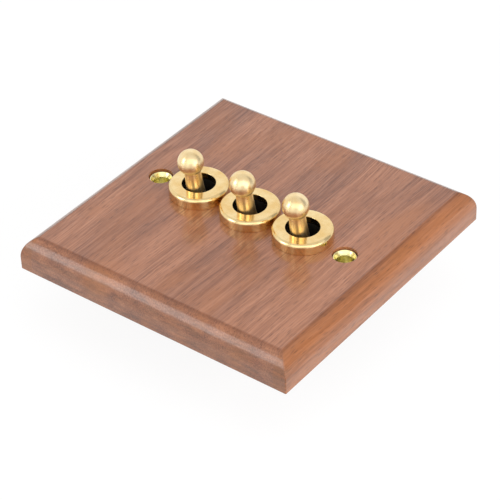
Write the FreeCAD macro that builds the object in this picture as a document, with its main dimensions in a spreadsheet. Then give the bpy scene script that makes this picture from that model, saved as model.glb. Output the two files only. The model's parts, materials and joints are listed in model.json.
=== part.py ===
# A square walnut wall plate with three brass dolly switches in a row, in millimetres.
# The origin is the middle of the plate's back. X runs along the row of switches,
# Y points up the wall and Z stands out of the plate's face.
import FreeCAD, Part
import math
import os
import re

import Sketcher

# Every size that can be set by itself: its name, its value and what it measures.
SIZES = (
    ("plate_width", 86.0, "side of the square plate"),
    ("plate_thick", 10.0, "thickness of the plate"),
    ("edge_inset", 4.0, "reach of the rounded edge over the face"),
    ("edge_round", 6.5, "radius of the rounded edge"),
    ("arris", 0.4, "bevel along the back edge"),
    ("screw_spacing", 60.3, "distance between the two fixing screws"),
    ("switch_pitch", 17.0, "distance between neighbouring switches"),
    ("eyelet_bore", 4.3, "bore of a screw eyelet"),
    ("eyelet_mouth", 5.5, "width of an eyelet's flared mouth"),
    ("mouth_deep", 1.6, "depth of that mouth"),
    ("eyelet_tube", 5.2, "outside of an eyelet's tube"),
    ("eyelet_rim", 6.2, "outside of an eyelet's rim"),
    ("rim_thick", 1.5, "thickness of an eyelet's rim"),
    ("eyelet_sunk", 0.75, "depth of the rim under the plate's face"),
    ("eyelet_gap", 0.1, "play of an eyelet's tube in the wood"),
    ("seat_gap", 0.2, "space around an eyelet's rim in its sunk seat"),
    ("ring_gap", 0.7, "space between neighbouring ring nuts"),
    ("ring_high", 3.2, "height of a ring nut"),
    ("ring_hole", 9.1, "hole in a ring nut's lip"),
    ("ring_lip", 1.8, "thickness of a ring nut's lip"),
    ("ring_edge", 1.0, "rounding of a ring nut's outer edge"),
    ("ring_rim", 0.15, "bevel around a ring nut's hole"),
    ("bush_dia", 11.9, "outside of the threaded bush"),
    ("bush_gap", 0.25, "play of the bush in the plate and the saddle"),
    ("bush_short", 0.2, "space between the bush and the ring nut's lip"),
    ("thread_gap", 0.05, "play of the ring nut on the bush"),
    ("bore_gap", 0.05, "how much the bush's bore is wider than the ring nut's hole, on each side"),
    ("tilt", 8.3, "lean of a dolly to either side, in degrees"),
    ("pivot_deep", 8.0, "depth of the hinge pin under the plate's face"),
    ("ball_dia", 7.05, "ball on the dolly's end"),
    ("ball_reach", 19.65, "distance from the hinge to the ball's middle"),
    ("neck_dia", 4.35, "thickness of the dolly under its ball"),
    ("stem_dia", 6.0, "thickness of the dolly at its seat"),
    ("stem_sweep", 300.0, "radius of the hollow flare of the stem"),
    ("seat_reach", 1.9, "distance from the hinge to the dolly's seat"),
    ("spigot_dia", 3.0, "peg under the dolly's seat"),
    ("spigot_deep", 0.9, "length of that peg"),
    ("spigot_gap", 0.02, "play of that peg in the lever"),
    ("ball_gap", 0.9, "room around the lever's pivot ball"),
    ("arm_dia", 4.4, "thickness of the lever's lower arm"),
    ("spring_bore", 2.7, "bore for the spring and the plunger"),
    ("spring_roof", 1.6, "distance from the hinge to the end of that bore"),
    ("wire_dia", 0.35, "wire of the spring"),
    ("spring_gap", 0.1, "play of the spring in its bore"),
    ("plunger_gap", 0.05, "play of the plunger in its bore"),
    ("plunger_in", 1.6, "length of the plunger inside the arm"),
    ("plunger_out", 1.1, "straight length of the plunger outside the arm"),
    ("nose_gap", 0.12, "space between the plunger's nose and the rocker"),
    ("pin_dia", 1.6, "hinge pin"),
    ("pin_run", 0.05, "play of the lever on the hinge pin"),
    ("pin_hold", 0.02, "play of the hinge pin in the bush"),
    ("pin_inset", 0.4, "depth of the pin's ends in the bush"),
    ("pin_bevel", 0.15, "bevel on the pin's ends"),
    ("module_gap", 0.4, "space between neighbouring switch bodies"),
    ("saddle_thick", 1.0, "sheet of the saddle"),
    ("saddle_inset", 0.8, "how much the saddle is narrower than the body, each side"),
    ("leg_width", 10.0, "width of the saddle's legs"),
    ("tab_deep", 1.5, "length of the tabs that grip the base"),
    ("tab_rise", 4.5, "height of the tabs' seats over the base's underside"),
    ("flange_thick", 2.0, "thickness of the cover's flange"),
    ("slot_gap", 0.4, "room around the lever's arm in its slot"),
    ("base_high", 10.5, "height of the base"),
    ("end_margin", 4.0, "distance from the outer screws to the base's ends"),
    ("floor_thick", 3.0, "floor of the base"),
    ("side_wall", 2.5, "long walls of the base"),
    ("end_wall", 2.5, "short walls of the base"),
    ("rib_thick", 1.2, "barrier ribs between the terminals"),
    ("rib_proud", 0.5, "how far the ribs stand beyond the screw heads"),
    ("piece_gap", 0.1, "play of the metal pieces in the base"),
    ("terminal_pitch", 10.5, "distance between terminal screws"),
    ("terminal_thick", 1.0, "strip of the terminals"),
    ("terminal_width", 8.0, "width of the terminals' rear plates"),
    ("common_length", 6.4, "length of the common terminal's rear plate"),
    ("plate_margin", 2.5, "how far an outer rear plate reaches past its screw"),
    ("strip_width", 3.0, "width of the strips through the floor"),
    ("strip_gap", 0.35, "space between a rib and the outer strip"),
    ("leg_inset", 0.8, "space between the common strip and the side wall"),
    ("post_width", 3.2, "width of the post under the rocker"),
    ("post_short", 0.45, "depth of the post's top under the rocker's axis"),
    ("rocker_width", 4.0, "width of the rocking contact"),
    ("rocker_thick", 0.8, "thickness of the rocking contact"),
    ("rocker_swing", 6.0, "swing of the rocking contact to either side, in degrees"),
    ("boss_dia", 1.8, "round boss on which the contact rocks"),
    ("boss_run", 0.05, "play of that boss in the post"),
    ("tip_dia", 2.2, "contact tips"),
    ("tip_inset", 1.5, "distance from the outer strip to the tips' middle"),
    ("tip_margin", 0.2, "how far the rocker reaches past its tips"),
    ("shelf_margin", 0.8, "how far the shelf reaches past its tip"),
    ("moving_tip_high", 0.6, "height of the tips on the rocker"),
    ("fixed_tip_high", 1.0, "height of the tips on the terminals"),
    ("contact_gap", 0.1, "space between closed tips"),
    ("screw_dia", 2.9, "shank of a terminal screw"),
    ("screw_gap", 0.1, "play of a terminal screw"),
    ("screw_reach", 2.2, "depth of a terminal screw in the base"),
    ("screw_head", 5.4, "head of a terminal screw"),
    ("head_high", 2.2, "height of that head"),
    ("head_round", 0.9, "rounding of that head"),
    ("slot_width", 0.8, "driver slot in that head"),
    ("slot_deep", 0.9, "depth of that slot"),
    ("washer_side", 5.6, "side of a square washer"),
    ("washer_thick", 0.8, "thickness of a square washer"),
)

# Places and sizes worked out from those above, each from the ones before it.
LEVELS = (
    ("side_top", "plate_thick - sqrt(edge_round ^ 2 - (edge_round - edge_inset) ^ 2)", "top of the plate's side"),
    ("rim_top", "plate_thick - eyelet_sunk", "top of an eyelet"),
    ("rim_seat", "rim_top - rim_thick", "seat of an eyelet's rim"),
    ("ring_radius", "(switch_pitch - ring_gap) / 2", "outside of a ring nut"),
    ("ring_top", "plate_thick + ring_high", "top of a ring nut"),
    ("lip_under", "ring_top - ring_lip", "underside of a ring nut's lip"),
    ("bush_top", "lip_under - bush_short", "top of the bush"),
    ("pivot_level", "plate_thick - pivot_deep", "height of the hinge pin"),
    ("flange_top", "-saddle_thick", "top of the cover's flange"),
    ("flange_under", "flange_top - flange_thick", "underside of the cover's flange"),
    ("arm_half", "arm_dia / 2 / cos(tilt)", "half the leaning arm's width across the bush"),
    ("bore_radius", "ring_hole / 2 + bore_gap", "bore of the bush"),
    ("slot_half", "(pivot_level - flange_under) * tan(tilt) + arm_half + slot_gap", "half the lever's slot"),
    ("pivot_radius", "bore_radius - ball_gap", "pivot ball of the lever"),
    ("seat_radius", "sqrt(pivot_radius ^ 2 - seat_reach ^ 2)", "flat on top of the pivot ball"),
    ("arm_root", "sqrt(pivot_radius ^ 2 - (arm_dia / 2) ^ 2)", "where the arm leaves the pivot ball"),
    ("neck_reach", "ball_reach - sqrt((ball_dia / 2) ^ 2 - (neck_dia / 2) ^ 2)", "where the stem meets its ball"),
    ("spigot_end", "seat_reach - spigot_deep", "end of the dolly's peg"),
    ("base_width", "switch_pitch - module_gap", "width of a switch body"),
    ("base_length", "2 * (terminal_pitch + end_margin)", "length of a switch body"),
    ("base_under", "flange_under - base_high", "underside of the base"),
    ("floor_top", "base_under + floor_thick", "floor of the base's hollow"),
    ("tab_top", "base_under + tab_rise", "seat of the saddle's tabs"),
    ("tab_under", "tab_top - saddle_thick", "underside of those tabs"),
    ("saddle_half", "base_length / 2 + saddle_thick", "half the saddle's length"),
    ("plate_under", "base_under - terminal_thick", "underside of the rear plates"),
    ("washer_under", "plate_under - washer_thick", "underside of the washers"),
    ("head_under", "washer_under - head_high", "underside of the screw heads"),
    ("rib_place", "terminal_pitch / 2", "middle of a barrier rib"),
    ("rib_under", "head_under - rib_proud", "underside of the ribs"),
    ("strip_start", "rib_place + rib_thick / 2 + strip_gap", "inner face of an outer strip"),
    ("strip_back", "strip_start + terminal_thick", "outer face of that strip"),
    ("outer_end", "terminal_pitch + plate_margin", "outer end of an outer rear plate"),
    ("tip_place", "strip_start + tip_inset", "middle of the contact tips"),
    ("shelf_end", "tip_place + tip_dia / 2 + shelf_margin", "end of an outer terminal's shelf"),
    ("shelf_top", "floor_top + terminal_thick", "top of the terminals' shelves"),
    ("common_out", "base_width / 2 - side_wall - leg_inset", "outer face of the common strip"),
    ("common_in", "common_out - terminal_thick", "inner face of the common strip"),
    ("rocker_level", "shelf_top + fixed_tip_high + contact_gap + moving_tip_high", "axis of the rocking contact"),
    ("rocker_half", "tip_place + tip_dia / 2 + tip_margin", "length of one arm of the rocking contact"),
    ("rocker_crest", "rocker_thick / cos(rocker_swing)", "height of the rocker's middle over its axis"),
    ("groove_radius", "boss_dia / 2 + boss_run", "groove in the post"),
    ("post_top", "rocker_level - post_short", "top of the post"),
    ("groove_half", "sqrt(groove_radius ^ 2 - post_short ^ 2)", "half the groove's mouth"),
    ("nose_radius", "spring_bore / 2 - plunger_gap", "plunger and its round nose"),
    ("nose_reach", "pivot_level - rocker_level - rocker_crest - nose_radius - nose_gap", "hinge to the nose's middle"),
    ("arm_reach", "nose_reach - plunger_out", "hinge to the arm's end"),
    ("plunger_top", "arm_reach - plunger_in", "hinge to the plunger's inner end"),
    ("coil_radius", "spring_bore / 2 - spring_gap - wire_dia / 2", "middle of the spring's wire"),
)

# The three switches and the two eyelets, each with its place along X.
ROW = {"left": "-switch_pitch", "middle": "0", "right": "switch_pitch"}
EYELETS = {"left": "-screw_spacing / 2", "right": "screw_spacing / 2"}
# The two ends of a switch, each with its direction along Y.
ENDS = {"upper": 1, "lower": -1}
SPRING_TURNS = 6

document = FreeCAD.newDocument("dolly_switch_plate")
owner = {}
subparts = []


def bound(text, home=""):
    """Puts the name of its sheet before every size in an expression."""

    def with_sheet(word):
        sheet = owner.get(word[0], home)
        return word[0] if sheet == home else f"{sheet}.{word[0]}"

    return re.sub(r"[a-z_]+", with_sheet, text)


def fill_sheet(name, rows):
    """A sheet with one named cell a row: a plain number, or a formula over earlier cells."""
    sheet = document.addObject("Spreadsheet::Sheet", name)
    for row, (alias, content, note) in enumerate(rows, start=1):
        sheet.set(f"A{row}", note)
        sheet.set(f"B{row}", "=" + bound(content, name) if isinstance(content, str) else str(content))
        sheet.setAlias(f"B{row}", alias)
        owner[alias] = name
    return sheet


sizes = fill_sheet("sizes", SIZES)
fill_sheet("levels", LEVELS)
document.recompute()


def value(text):
    """The present value of an expression over the sizes."""
    return float(sizes.evalExpression(bound(text)))


def placed(x, y="0", z="0", lean="0"):
    """A place with a lean about X, as an expression."""
    return f"placement(vector({x}; {y}; {z}); rotation(vector(1; 0; 0); {lean}))"


def keep(piece, label, place):
    """Names a sub-part, puts it in its place and lists it."""
    piece.Label = label
    piece.setExpression("Placement", bound(place))
    subparts.append(piece)


def new_body(label, place):
    """An empty body for one sub-part."""
    body = document.addObject("PartDesign::Body", label)
    keep(body, label, place)
    return body


def sketch_on(body, name, plane, level=None):
    """An empty sketch on one of the body's own planes, lifted to a level along its normal."""
    sketch = body.newObject("Sketcher::SketchObject", f"{body.Name}_{name}")
    support = next(datum for datum in body.Origin.OriginFeatures if datum.Role == plane)
    sketch.AttachmentSupport = [(support, "")]
    sketch.MapMode = "FlatFace"
    if level:
        sketch.setExpression("AttachmentOffset.Base.z", bound(level))
    return sketch


def constrain(sketch, rules):
    """Adds constraints, each with the expression that its value follows."""
    for number, (_, text) in zip(sketch.addConstraint([rule for rule, _ in rules]), rules):
        if text:
            sketch.setExpression(f"Constraints[{number}]", bound(text))


def arc_between(start, end, radius, turn):
    """The short arc between two points, anticlockwise where turn is 1 and clockwise where it is -1."""
    chord = end - start
    across = FreeCAD.Vector(-chord.y, chord.x, 0).normalize()
    centre = (start + end) * 0.5 + across * turn * math.sqrt(radius**2 - chord.Length**2 / 4)
    first, last = (start, end) if turn > 0 else (end, start)
    angles = [math.atan2(point.y - centre.y, point.x - centre.x) for point in (first, last)]
    return Part.ArcOfCircle(Part.Circle(centre, FreeCAD.Vector(0, 0, 1), radius), *angles)


def draw_outline(sketch, points, rounds=None):
    """A closed outline through points given as expressions.

    rounds gives the edges that are arcs, by the number of their first point: a radius and a turn.
    """
    rounds = rounds or {}
    spots = [FreeCAD.Vector(value(x), value(y), 0) for x, y in points]
    first = sketch.GeometryCount
    edges = []
    heads = []
    for number, spot in enumerate(spots):
        following = spots[(number + 1) % len(spots)]
        radius, turn = rounds.get(number, ("0", 1))
        straight = number not in rounds
        edges.append(Part.LineSegment(spot, following) if straight else arc_between(spot, following, value(radius), turn))
        heads.append(1 if turn > 0 else 2)
    sketch.addGeometry(edges)
    rules = []
    for number, (x, y) in enumerate(points):
        edge = first + number
        following = (number + 1) % len(points)
        tail = 3 - heads[number]
        rules.append((Sketcher.Constraint("Coincident", edge, tail, first + following, heads[following]), None))
        rules.append((Sketcher.Constraint("DistanceX", edge, heads[number], spots[number].x), x))
        rules.append((Sketcher.Constraint("DistanceY", edge, heads[number], spots[number].y), y))
        if number in rounds:
            radius = rounds[number][0]
            rules.append((Sketcher.Constraint("Radius", edge, value(radius)), radius))
    constrain(sketch, rules)


def draw_box(sketch, x_from, x_to, y_from, y_to):
    """A rectangle between four edges given as expressions."""
    draw_outline(sketch, [(x_from, y_from), (x_to, y_from), (x_to, y_to), (x_from, y_to)])


def draw_centred_box(sketch, x_size, y_size):
    """A rectangle about the sketch's origin."""
    draw_box(sketch, f"-({x_size}) / 2", f"({x_size}) / 2", f"-({y_size}) / 2", f"({y_size}) / 2")


def draw_circle(sketch, x, y, radius):
    """A circle given by expressions for its middle and radius."""
    middle = FreeCAD.Vector(value(x), value(y), 0)
    circle = sketch.addGeometry(Part.Circle(middle, FreeCAD.Vector(0, 0, 1), value(radius)))
    rules = [
        (Sketcher.Constraint("DistanceX", circle, 3, middle.x), x),
        (Sketcher.Constraint("DistanceY", circle, 3, middle.y), y),
        (Sketcher.Constraint("Radius", circle, value(radius)), radius),
    ]
    constrain(sketch, rules)


def add_feature(body, kind, sketch, length=None, **settings):
    """A feature on a sketch, with a length that follows an expression."""
    feature = body.newObject(f"PartDesign::{kind}", f"{sketch.Name}_{kind.lower()}")
    feature.Profile = sketch
    if length:
        feature.setExpression("Length", bound(length))
    for name, setting in settings.items():
        setattr(feature, name, setting)
    return feature


def pad(body, sketch, length, **settings):
    """Material along a sketch's normal."""
    return add_feature(body, "Pad", sketch, length, **settings)


def pad_both_ways(body, sketch, length):
    """Material to both sides of a sketch."""
    return pad(body, sketch, length, SideType="Symmetric")


def cut_down(body, sketch, length):
    """A pocket against a sketch's normal."""
    return add_feature(body, "Pocket", sketch, length)


def cut_up(body, sketch, length):
    """A pocket along a sketch's normal."""
    return add_feature(body, "Pocket", sketch, length, Reversed=True)


def cut_through(body, sketch):
    """A pocket to both sides of a sketch, right through the body."""
    return add_feature(body, "Pocket", sketch, Type="ThroughAll", SideType="Symmetric")


def turn_about(body, sketch, axis="V_Axis"):
    """A body turned about one of a sketch's axes."""
    return add_feature(body, "Revolution", sketch, ReferenceAxis=(sketch, [axis]))


def walnut_plate():
    """A square board: its edge is rounded on all four sides and bored for switches and eyelets."""
    body = new_body("walnut_plate", placed("0"))
    half = "plate_width / 2"
    section = sketch_on(body, "section", "XZ_Plane")
    outline = [
        (f"-{half} + arris", "0"),
        (f"{half} - arris", "0"),
        (half, "arris"),
        (half, "side_top"),
        (f"{half} - edge_inset", "plate_thick"),
        (f"-{half} + edge_inset", "plate_thick"),
        (f"-{half}", "side_top"),
        (f"-{half}", "arris"),
    ]
    draw_outline(section, outline, {3: ("edge_round", 1), 5: ("edge_round", 1)})
    pad_both_ways(body, section, "plate_width")
    # What the same edge leaves over on the two other sides is cut away.
    waste = sketch_on(body, "waste", "YZ_Plane")
    for side in ENDS.values():
        top_waste = [
            (f"{side} * ({half})", "side_top"),
            (f"{side} * ({half} + edge_inset)", "side_top"),
            (f"{side} * ({half} + edge_inset)", "plate_thick + edge_inset"),
            (f"{side} * ({half} - edge_inset)", "plate_thick + edge_inset"),
            (f"{side} * ({half} - edge_inset)", "plate_thick"),
        ]
        draw_outline(waste, top_waste, {4: ("edge_round", -side)})
        back_waste = [
            (f"{side} * ({half} - arris)", "0"),
            (f"{side} * ({half} - arris)", "-arris"),
            (f"{side} * ({half} + arris)", "-arris"),
            (f"{side} * ({half} + arris)", "arris"),
            (f"{side} * ({half})", "arris"),
        ]
        draw_outline(waste, back_waste)
    cut_through(body, waste)
    bores = sketch_on(body, "bores", "XY_Plane")
    seats = sketch_on(body, "seats", "XY_Plane", "plate_thick")
    for x in ROW.values():
        draw_circle(bores, x, "0", "bush_dia / 2 + bush_gap")
    for x in EYELETS.values():
        draw_circle(bores, x, "0", "eyelet_tube / 2 + eyelet_gap")
        draw_circle(seats, x, "0", "eyelet_rim / 2 + seat_gap")
    cut_through(body, bores)
    cut_down(body, seats, "plate_thick - rim_seat")


def screw_eyelet(side, x):
    """A turned brass lining with a rim on the wood's seat and a flared mouth for the screw."""
    body = new_body(f"{side}_screw_eyelet", placed(x))
    section = sketch_on(body, "section", "XZ_Plane")
    outline = [
        ("eyelet_bore / 2", "0"),
        ("eyelet_tube / 2", "0"),
        ("eyelet_tube / 2", "rim_seat"),
        ("eyelet_rim / 2", "rim_seat"),
        ("eyelet_rim / 2", "rim_top"),
        ("eyelet_mouth / 2", "rim_top"),
        ("eyelet_bore / 2", "rim_top - mouth_deep"),
    ]
    draw_outline(section, outline)
    turn_about(body, section)


def ring_nut(side, x):
    """A turned ring that clamps the plate, with a lip over the bush's end."""
    body = new_body(f"{side}_ring_nut", placed(x))
    section = sketch_on(body, "section", "XZ_Plane")
    thread = "bush_dia / 2 + thread_gap"
    outline = [
        (thread, "plate_thick"),
        ("ring_radius", "plate_thick"),
        ("ring_radius", "ring_top - ring_edge"),
        ("ring_radius - ring_edge", "ring_top"),
        ("ring_hole / 2 + ring_rim", "ring_top"),
        ("ring_hole / 2", "ring_top - ring_rim"),
        ("ring_hole / 2", "lip_under"),
        (thread, "lip_under"),
    ]
    draw_outline(section, outline, {2: ("ring_edge", 1)})
    turn_about(body, section)


def dolly(side, place):
    """A turned lever end: a peg, a seat, a hollow flare and a ball."""
    body = new_body(f"{side}_dolly", place)
    section = sketch_on(body, "section", "XZ_Plane")
    outline = [
        ("0", "spigot_end"),
        ("spigot_dia / 2", "spigot_end"),
        ("spigot_dia / 2", "seat_reach"),
        ("stem_dia / 2", "seat_reach"),
        ("neck_dia / 2", "neck_reach"),
        ("0", "ball_reach + ball_dia / 2"),
    ]
    draw_outline(section, outline, {3: ("stem_sweep", -1), 4: ("ball_dia / 2", 1)})
    turn_about(body, section)


def lever(side, place):
    """A moulded lever: a pivot ball with a seat for the dolly, and an arm bored for the spring."""
    body = new_body(f"{side}_lever", place)
    section = sketch_on(body, "section", "XZ_Plane")
    peg_hole = "spigot_dia / 2 + spigot_gap"
    outline = [
        ("spring_bore / 2", "-arm_reach"),
        ("arm_dia / 2", "-arm_reach"),
        ("arm_dia / 2", "-arm_root"),
        ("seat_radius", "seat_reach"),
        (peg_hole, "seat_reach"),
        (peg_hole, "spigot_end"),
        ("0", "spigot_end"),
        ("0", "-spring_roof"),
        ("spring_bore / 2", "-spring_roof"),
    ]
    draw_outline(section, outline, {2: ("pivot_radius", 1)})
    turn_about(body, section)
    pin_hole = sketch_on(body, "pin_hole", "YZ_Plane")
    draw_circle(pin_hole, "0", "0", "pin_dia / 2 + pin_run")
    cut_through(body, pin_hole)


def pivot_pin(side, x):
    """A steel pin across the bush, on which the lever swings."""
    body = new_body(f"{side}_pivot_pin", placed(x, z="pivot_level"))
    section = sketch_on(body, "section", "XY_Plane")
    end = "(bush_dia / 2 - pin_inset)"
    outline = [
        (f"-{end}", "0"),
        (end, "0"),
        (end, "pin_dia / 2 - pin_bevel"),
        (f"{end} - pin_bevel", "pin_dia / 2"),
        (f"-{end} + pin_bevel", "pin_dia / 2"),
        (f"-{end}", "pin_dia / 2 - pin_bevel"),
    ]
    draw_outline(section, outline)
    turn_about(body, section, "H_Axis")


def toggle_spring(side, place):
    """A wire coil between the bore's end and the plunger, each half turn an arc on a slope."""
    wire_radius = value("wire_dia / 2")
    radius = value("coil_radius")
    low = -value("plunger_top") + wire_radius
    rise = (-value("spring_roof") - wire_radius - low) / (2 * SPRING_TURNS)
    bulge = math.hypot(radius, rise / 2)
    turns = []
    for number in range(2 * SPRING_TURNS):
        out = radius if number % 2 == 0 else -radius
        swell = math.copysign(bulge, out)
        start = FreeCAD.Vector(out, 0, low + number * rise)
        middle = FreeCAD.Vector(0, swell, low + (number + 0.5) * rise)
        end = FreeCAD.Vector(-out, 0, low + (number + 1) * rise)
        turns.append(Part.Arc(start, middle, end).toShape())
    path = Part.Wire(turns)
    wire_section = Part.Wire(Part.makeCircle(wire_radius, FreeCAD.Vector(radius, 0, low), FreeCAD.Vector(0, 1, 0)))
    coil = document.addObject("Part::Feature", f"{side}_toggle_spring")
    coil.Shape = path.makePipeShell([wire_section], True, False)
    keep(coil, f"{side}_toggle_spring", place)


def plunger(side, place):
    """A turned plunger that the spring pushes out of the arm, with a round nose."""
    body = new_body(f"{side}_plunger", place)
    section = sketch_on(body, "section", "XZ_Plane")
    outline = [
        ("0", "-nose_reach - nose_radius"),
        ("nose_radius", "-nose_reach"),
        ("nose_radius", "-plunger_top"),
        ("0", "-plunger_top"),
    ]
    draw_outline(section, outline, {0: ("nose_radius", 1)})
    turn_about(body, section)


def bush_cover(side, x):
    """A moulded cover over the base, with the threaded bush that comes through the plate."""
    body = new_body(f"{side}_bush_cover", placed(x))
    flange = sketch_on(body, "flange", "XY_Plane", "flange_under")
    draw_centred_box(flange, "base_width", "base_length")
    pad(body, flange, "flange_thick")
    neck = sketch_on(body, "neck", "XY_Plane", "flange_top")
    draw_circle(neck, "0", "0", "bush_dia / 2")
    pad(body, neck, "bush_top - flange_top")
    bore = sketch_on(body, "bore", "XY_Plane", "bush_top")
    draw_circle(bore, "0", "0", "bore_radius")
    cut_down(body, bore, "bush_top - flange_top")
    slot = sketch_on(body, "slot", "XY_Plane", "flange_under")
    draw_centred_box(slot, "arm_dia + 2 * slot_gap", "2 * slot_half")
    cut_up(body, slot, "flange_thick")
    pin_holes = sketch_on(body, "pin_holes", "YZ_Plane")
    draw_circle(pin_holes, "0", "pivot_level", "pin_dia / 2 + pin_hold")
    cut_through(body, pin_holes)


def saddle(side, x):
    """A folded steel saddle under the plate, whose legs grip the base and hold the cover on it."""
    body = new_body(f"{side}_saddle", placed(x))
    strap = sketch_on(body, "strap", "YZ_Plane")
    inside = "base_length / 2"
    outline = [
        (f"{inside} - tab_deep", "tab_under"),
        ("saddle_half", "tab_under"),
        ("saddle_half", "0"),
        ("-saddle_half", "0"),
        ("-saddle_half", "tab_under"),
        (f"-{inside} + tab_deep", "tab_under"),
        (f"-{inside} + tab_deep", "tab_top"),
        (f"-{inside}", "tab_top"),
        (f"-{inside}", "flange_top"),
        (inside, "flange_top"),
        (inside, "tab_top"),
        (f"{inside} - tab_deep", "tab_top"),
    ]
    draw_outline(strap, outline)
    pad_both_ways(body, strap, "leg_width")
    top = sketch_on(body, "top", "XY_Plane", "flange_top")
    draw_centred_box(top, "base_width - 2 * saddle_inset", "2 * saddle_half")
    pad(body, top, "saddle_thick")
    hole = sketch_on(body, "hole", "XY_Plane")
    draw_circle(hole, "0", "0", "bush_dia / 2 + bush_gap")
    cut_down(body, hole, "saddle_thick")


def switch_base(side, x):
    """A moulded trough with ribs between its terminals, notches for the saddle and holes for metal."""
    body = new_body(f"{side}_switch_base", placed(x))
    block = sketch_on(body, "block", "XY_Plane", "base_under")
    draw_centred_box(block, "base_width", "base_length")
    pad(body, block, "base_high")
    hollow = sketch_on(body, "hollow", "XY_Plane", "flange_under")
    draw_centred_box(hollow, "base_width - 2 * side_wall", "base_length - 2 * end_wall")
    cut_down(body, hollow, "base_high - floor_thick")
    ribs = sketch_on(body, "ribs", "XY_Plane", "base_under")
    notches = sketch_on(body, "notches", "XY_Plane", "base_under")
    slots = sketch_on(body, "slots", "XY_Plane", "base_under")
    holes = sketch_on(body, "holes", "XY_Plane", "base_under")
    draw_circle(holes, "0", "0", "screw_dia / 2 + screw_gap")
    strip_half = "(strip_width / 2 + piece_gap)"
    draw_box(slots, "common_in - piece_gap", "common_out + piece_gap", f"-{strip_half}", strip_half)
    for end in ENDS.values():
        rib_faces = [f"{end} * (rib_place - rib_thick / 2)", f"{end} * (rib_place + rib_thick / 2)"]
        draw_box(ribs, "-base_width / 2", "base_width / 2", *rib_faces)
        notch_half = "(leg_width / 2 + piece_gap)"
        notch_faces = [f"{end} * (base_length / 2 - tab_deep - piece_gap)", f"{end} * saddle_half"]
        draw_box(notches, f"-{notch_half}", notch_half, *notch_faces)
        slot_faces = [f"{end} * (strip_start - piece_gap)", f"{end} * (strip_back + piece_gap)"]
        draw_box(slots, f"-{strip_half}", strip_half, *slot_faces)
        draw_circle(holes, "0", f"{end} * terminal_pitch", "screw_dia / 2 + screw_gap")
    pad(body, ribs, "base_under - rib_under", Reversed=True)
    cut_up(body, notches, "tab_rise")
    cut_up(body, slots, "floor_thick")
    cut_up(body, holes, "screw_reach + screw_gap")


def rocker_contact(side, place):
    """A copper see-saw whose arms bend up from a round boss under its middle."""
    body = new_body(f"{side}_rocker_contact", place)
    section = sketch_on(body, "section", "YZ_Plane")
    along, up = "cos(rocker_swing)", "sin(rocker_swing)"
    boss = "boss_dia / 2"
    under = (f"rocker_half * {along}", f"rocker_half * {up}")
    over = (f"rocker_half * {along} - rocker_thick * {up}", f"rocker_half * {up} + rocker_thick * {along}")
    outline = [
        ("0", f"-{boss}"),
        (f"{boss} * {along}", f"{boss} * {up}"),
        under,
        over,
        ("0", "rocker_crest"),
        (f"-({over[0]})", over[1]),
        (f"-({under[0]})", under[1]),
        (f"-{boss} * {along}", f"{boss} * {up}"),
    ]
    draw_outline(section, outline, {0: (boss, 1), 7: (boss, 1)})
    pad_both_ways(body, section, "rocker_width")


def contact_tip(name, height, place):
    """One round contact tip, standing along the Z of its place."""
    tip = document.addObject("Part::Cylinder", name)
    tip.setExpression("Radius", bound("tip_dia / 2"))
    tip.setExpression("Height", bound(height))
    tip.setExpression("Placement", bound(place))
    return tip


def moving_tips(side, place):
    """The two tips under the arms of the rocking contact, square to their arms."""
    pair = document.addObject("Part::Compound", f"{side}_moving_tips")
    out = "(tip_place * cos(rocker_swing) + moving_tip_high * sin(rocker_swing))"
    up = "tip_place * sin(rocker_swing) - moving_tip_high * cos(rocker_swing)"
    pair.Links = [
        contact_tip(
            f"{side}_{end}_moving_tip",
            "moving_tip_high",
            placed("0", f"{way} * {out}", up, f"{way} * rocker_swing"),
        )
        for end, way in ENDS.items()
    ]
    keep(pair, f"{side}_moving_tips", place)


def fixed_tips(side, x):
    """The two tips on the shelves of the outer terminals."""
    pair = document.addObject("Part::Compound", f"{side}_fixed_tips")
    pair.Links = [
        contact_tip(
            f"{side}_{end}_fixed_tip", "fixed_tip_high", placed("0", f"{way} * tip_place", "shelf_top")
        )
        for end, way in ENDS.items()
    ]
    keep(pair, f"{side}_fixed_tips", placed(x))


def common_terminal(side, x):
    """A folded brass strip: a rear plate, a leg through the floor, and a shelf with the rocker's post."""
    body = new_body(f"{side}_common_terminal", placed(x))
    strip = sketch_on(body, "strip", "XZ_Plane")
    outline = [
        ("-terminal_width / 2", "plate_under"),
        ("common_out", "plate_under"),
        ("common_out", "shelf_top"),
        ("-rocker_width / 2", "shelf_top"),
        ("-rocker_width / 2", "floor_top"),
        ("common_in", "floor_top"),
        ("common_in", "base_under"),
        ("-terminal_width / 2", "base_under"),
    ]
    draw_outline(strip, outline)
    pad_both_ways(body, strip, "strip_width")
    post = sketch_on(body, "post", "YZ_Plane")
    post_outline = [
        ("-post_width / 2", "floor_top"),
        ("post_width / 2", "floor_top"),
        ("post_width / 2", "post_top"),
        ("groove_half", "post_top"),
        ("-groove_half", "post_top"),
        ("-post_width / 2", "post_top"),
    ]
    draw_outline(post, post_outline, {3: ("groove_radius", -1)})
    pad_both_ways(body, post, "rocker_width")
    rear = sketch_on(body, "rear", "XY_Plane", "plate_under")
    draw_centred_box(rear, "terminal_width", "common_length")
    pad(body, rear, "terminal_thick")
    hole = sketch_on(body, "hole", "XY_Plane", "plate_under")
    draw_circle(hole, "0", "0", "screw_dia / 2 + screw_gap")
    cut_up(body, hole, "terminal_thick")


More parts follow.
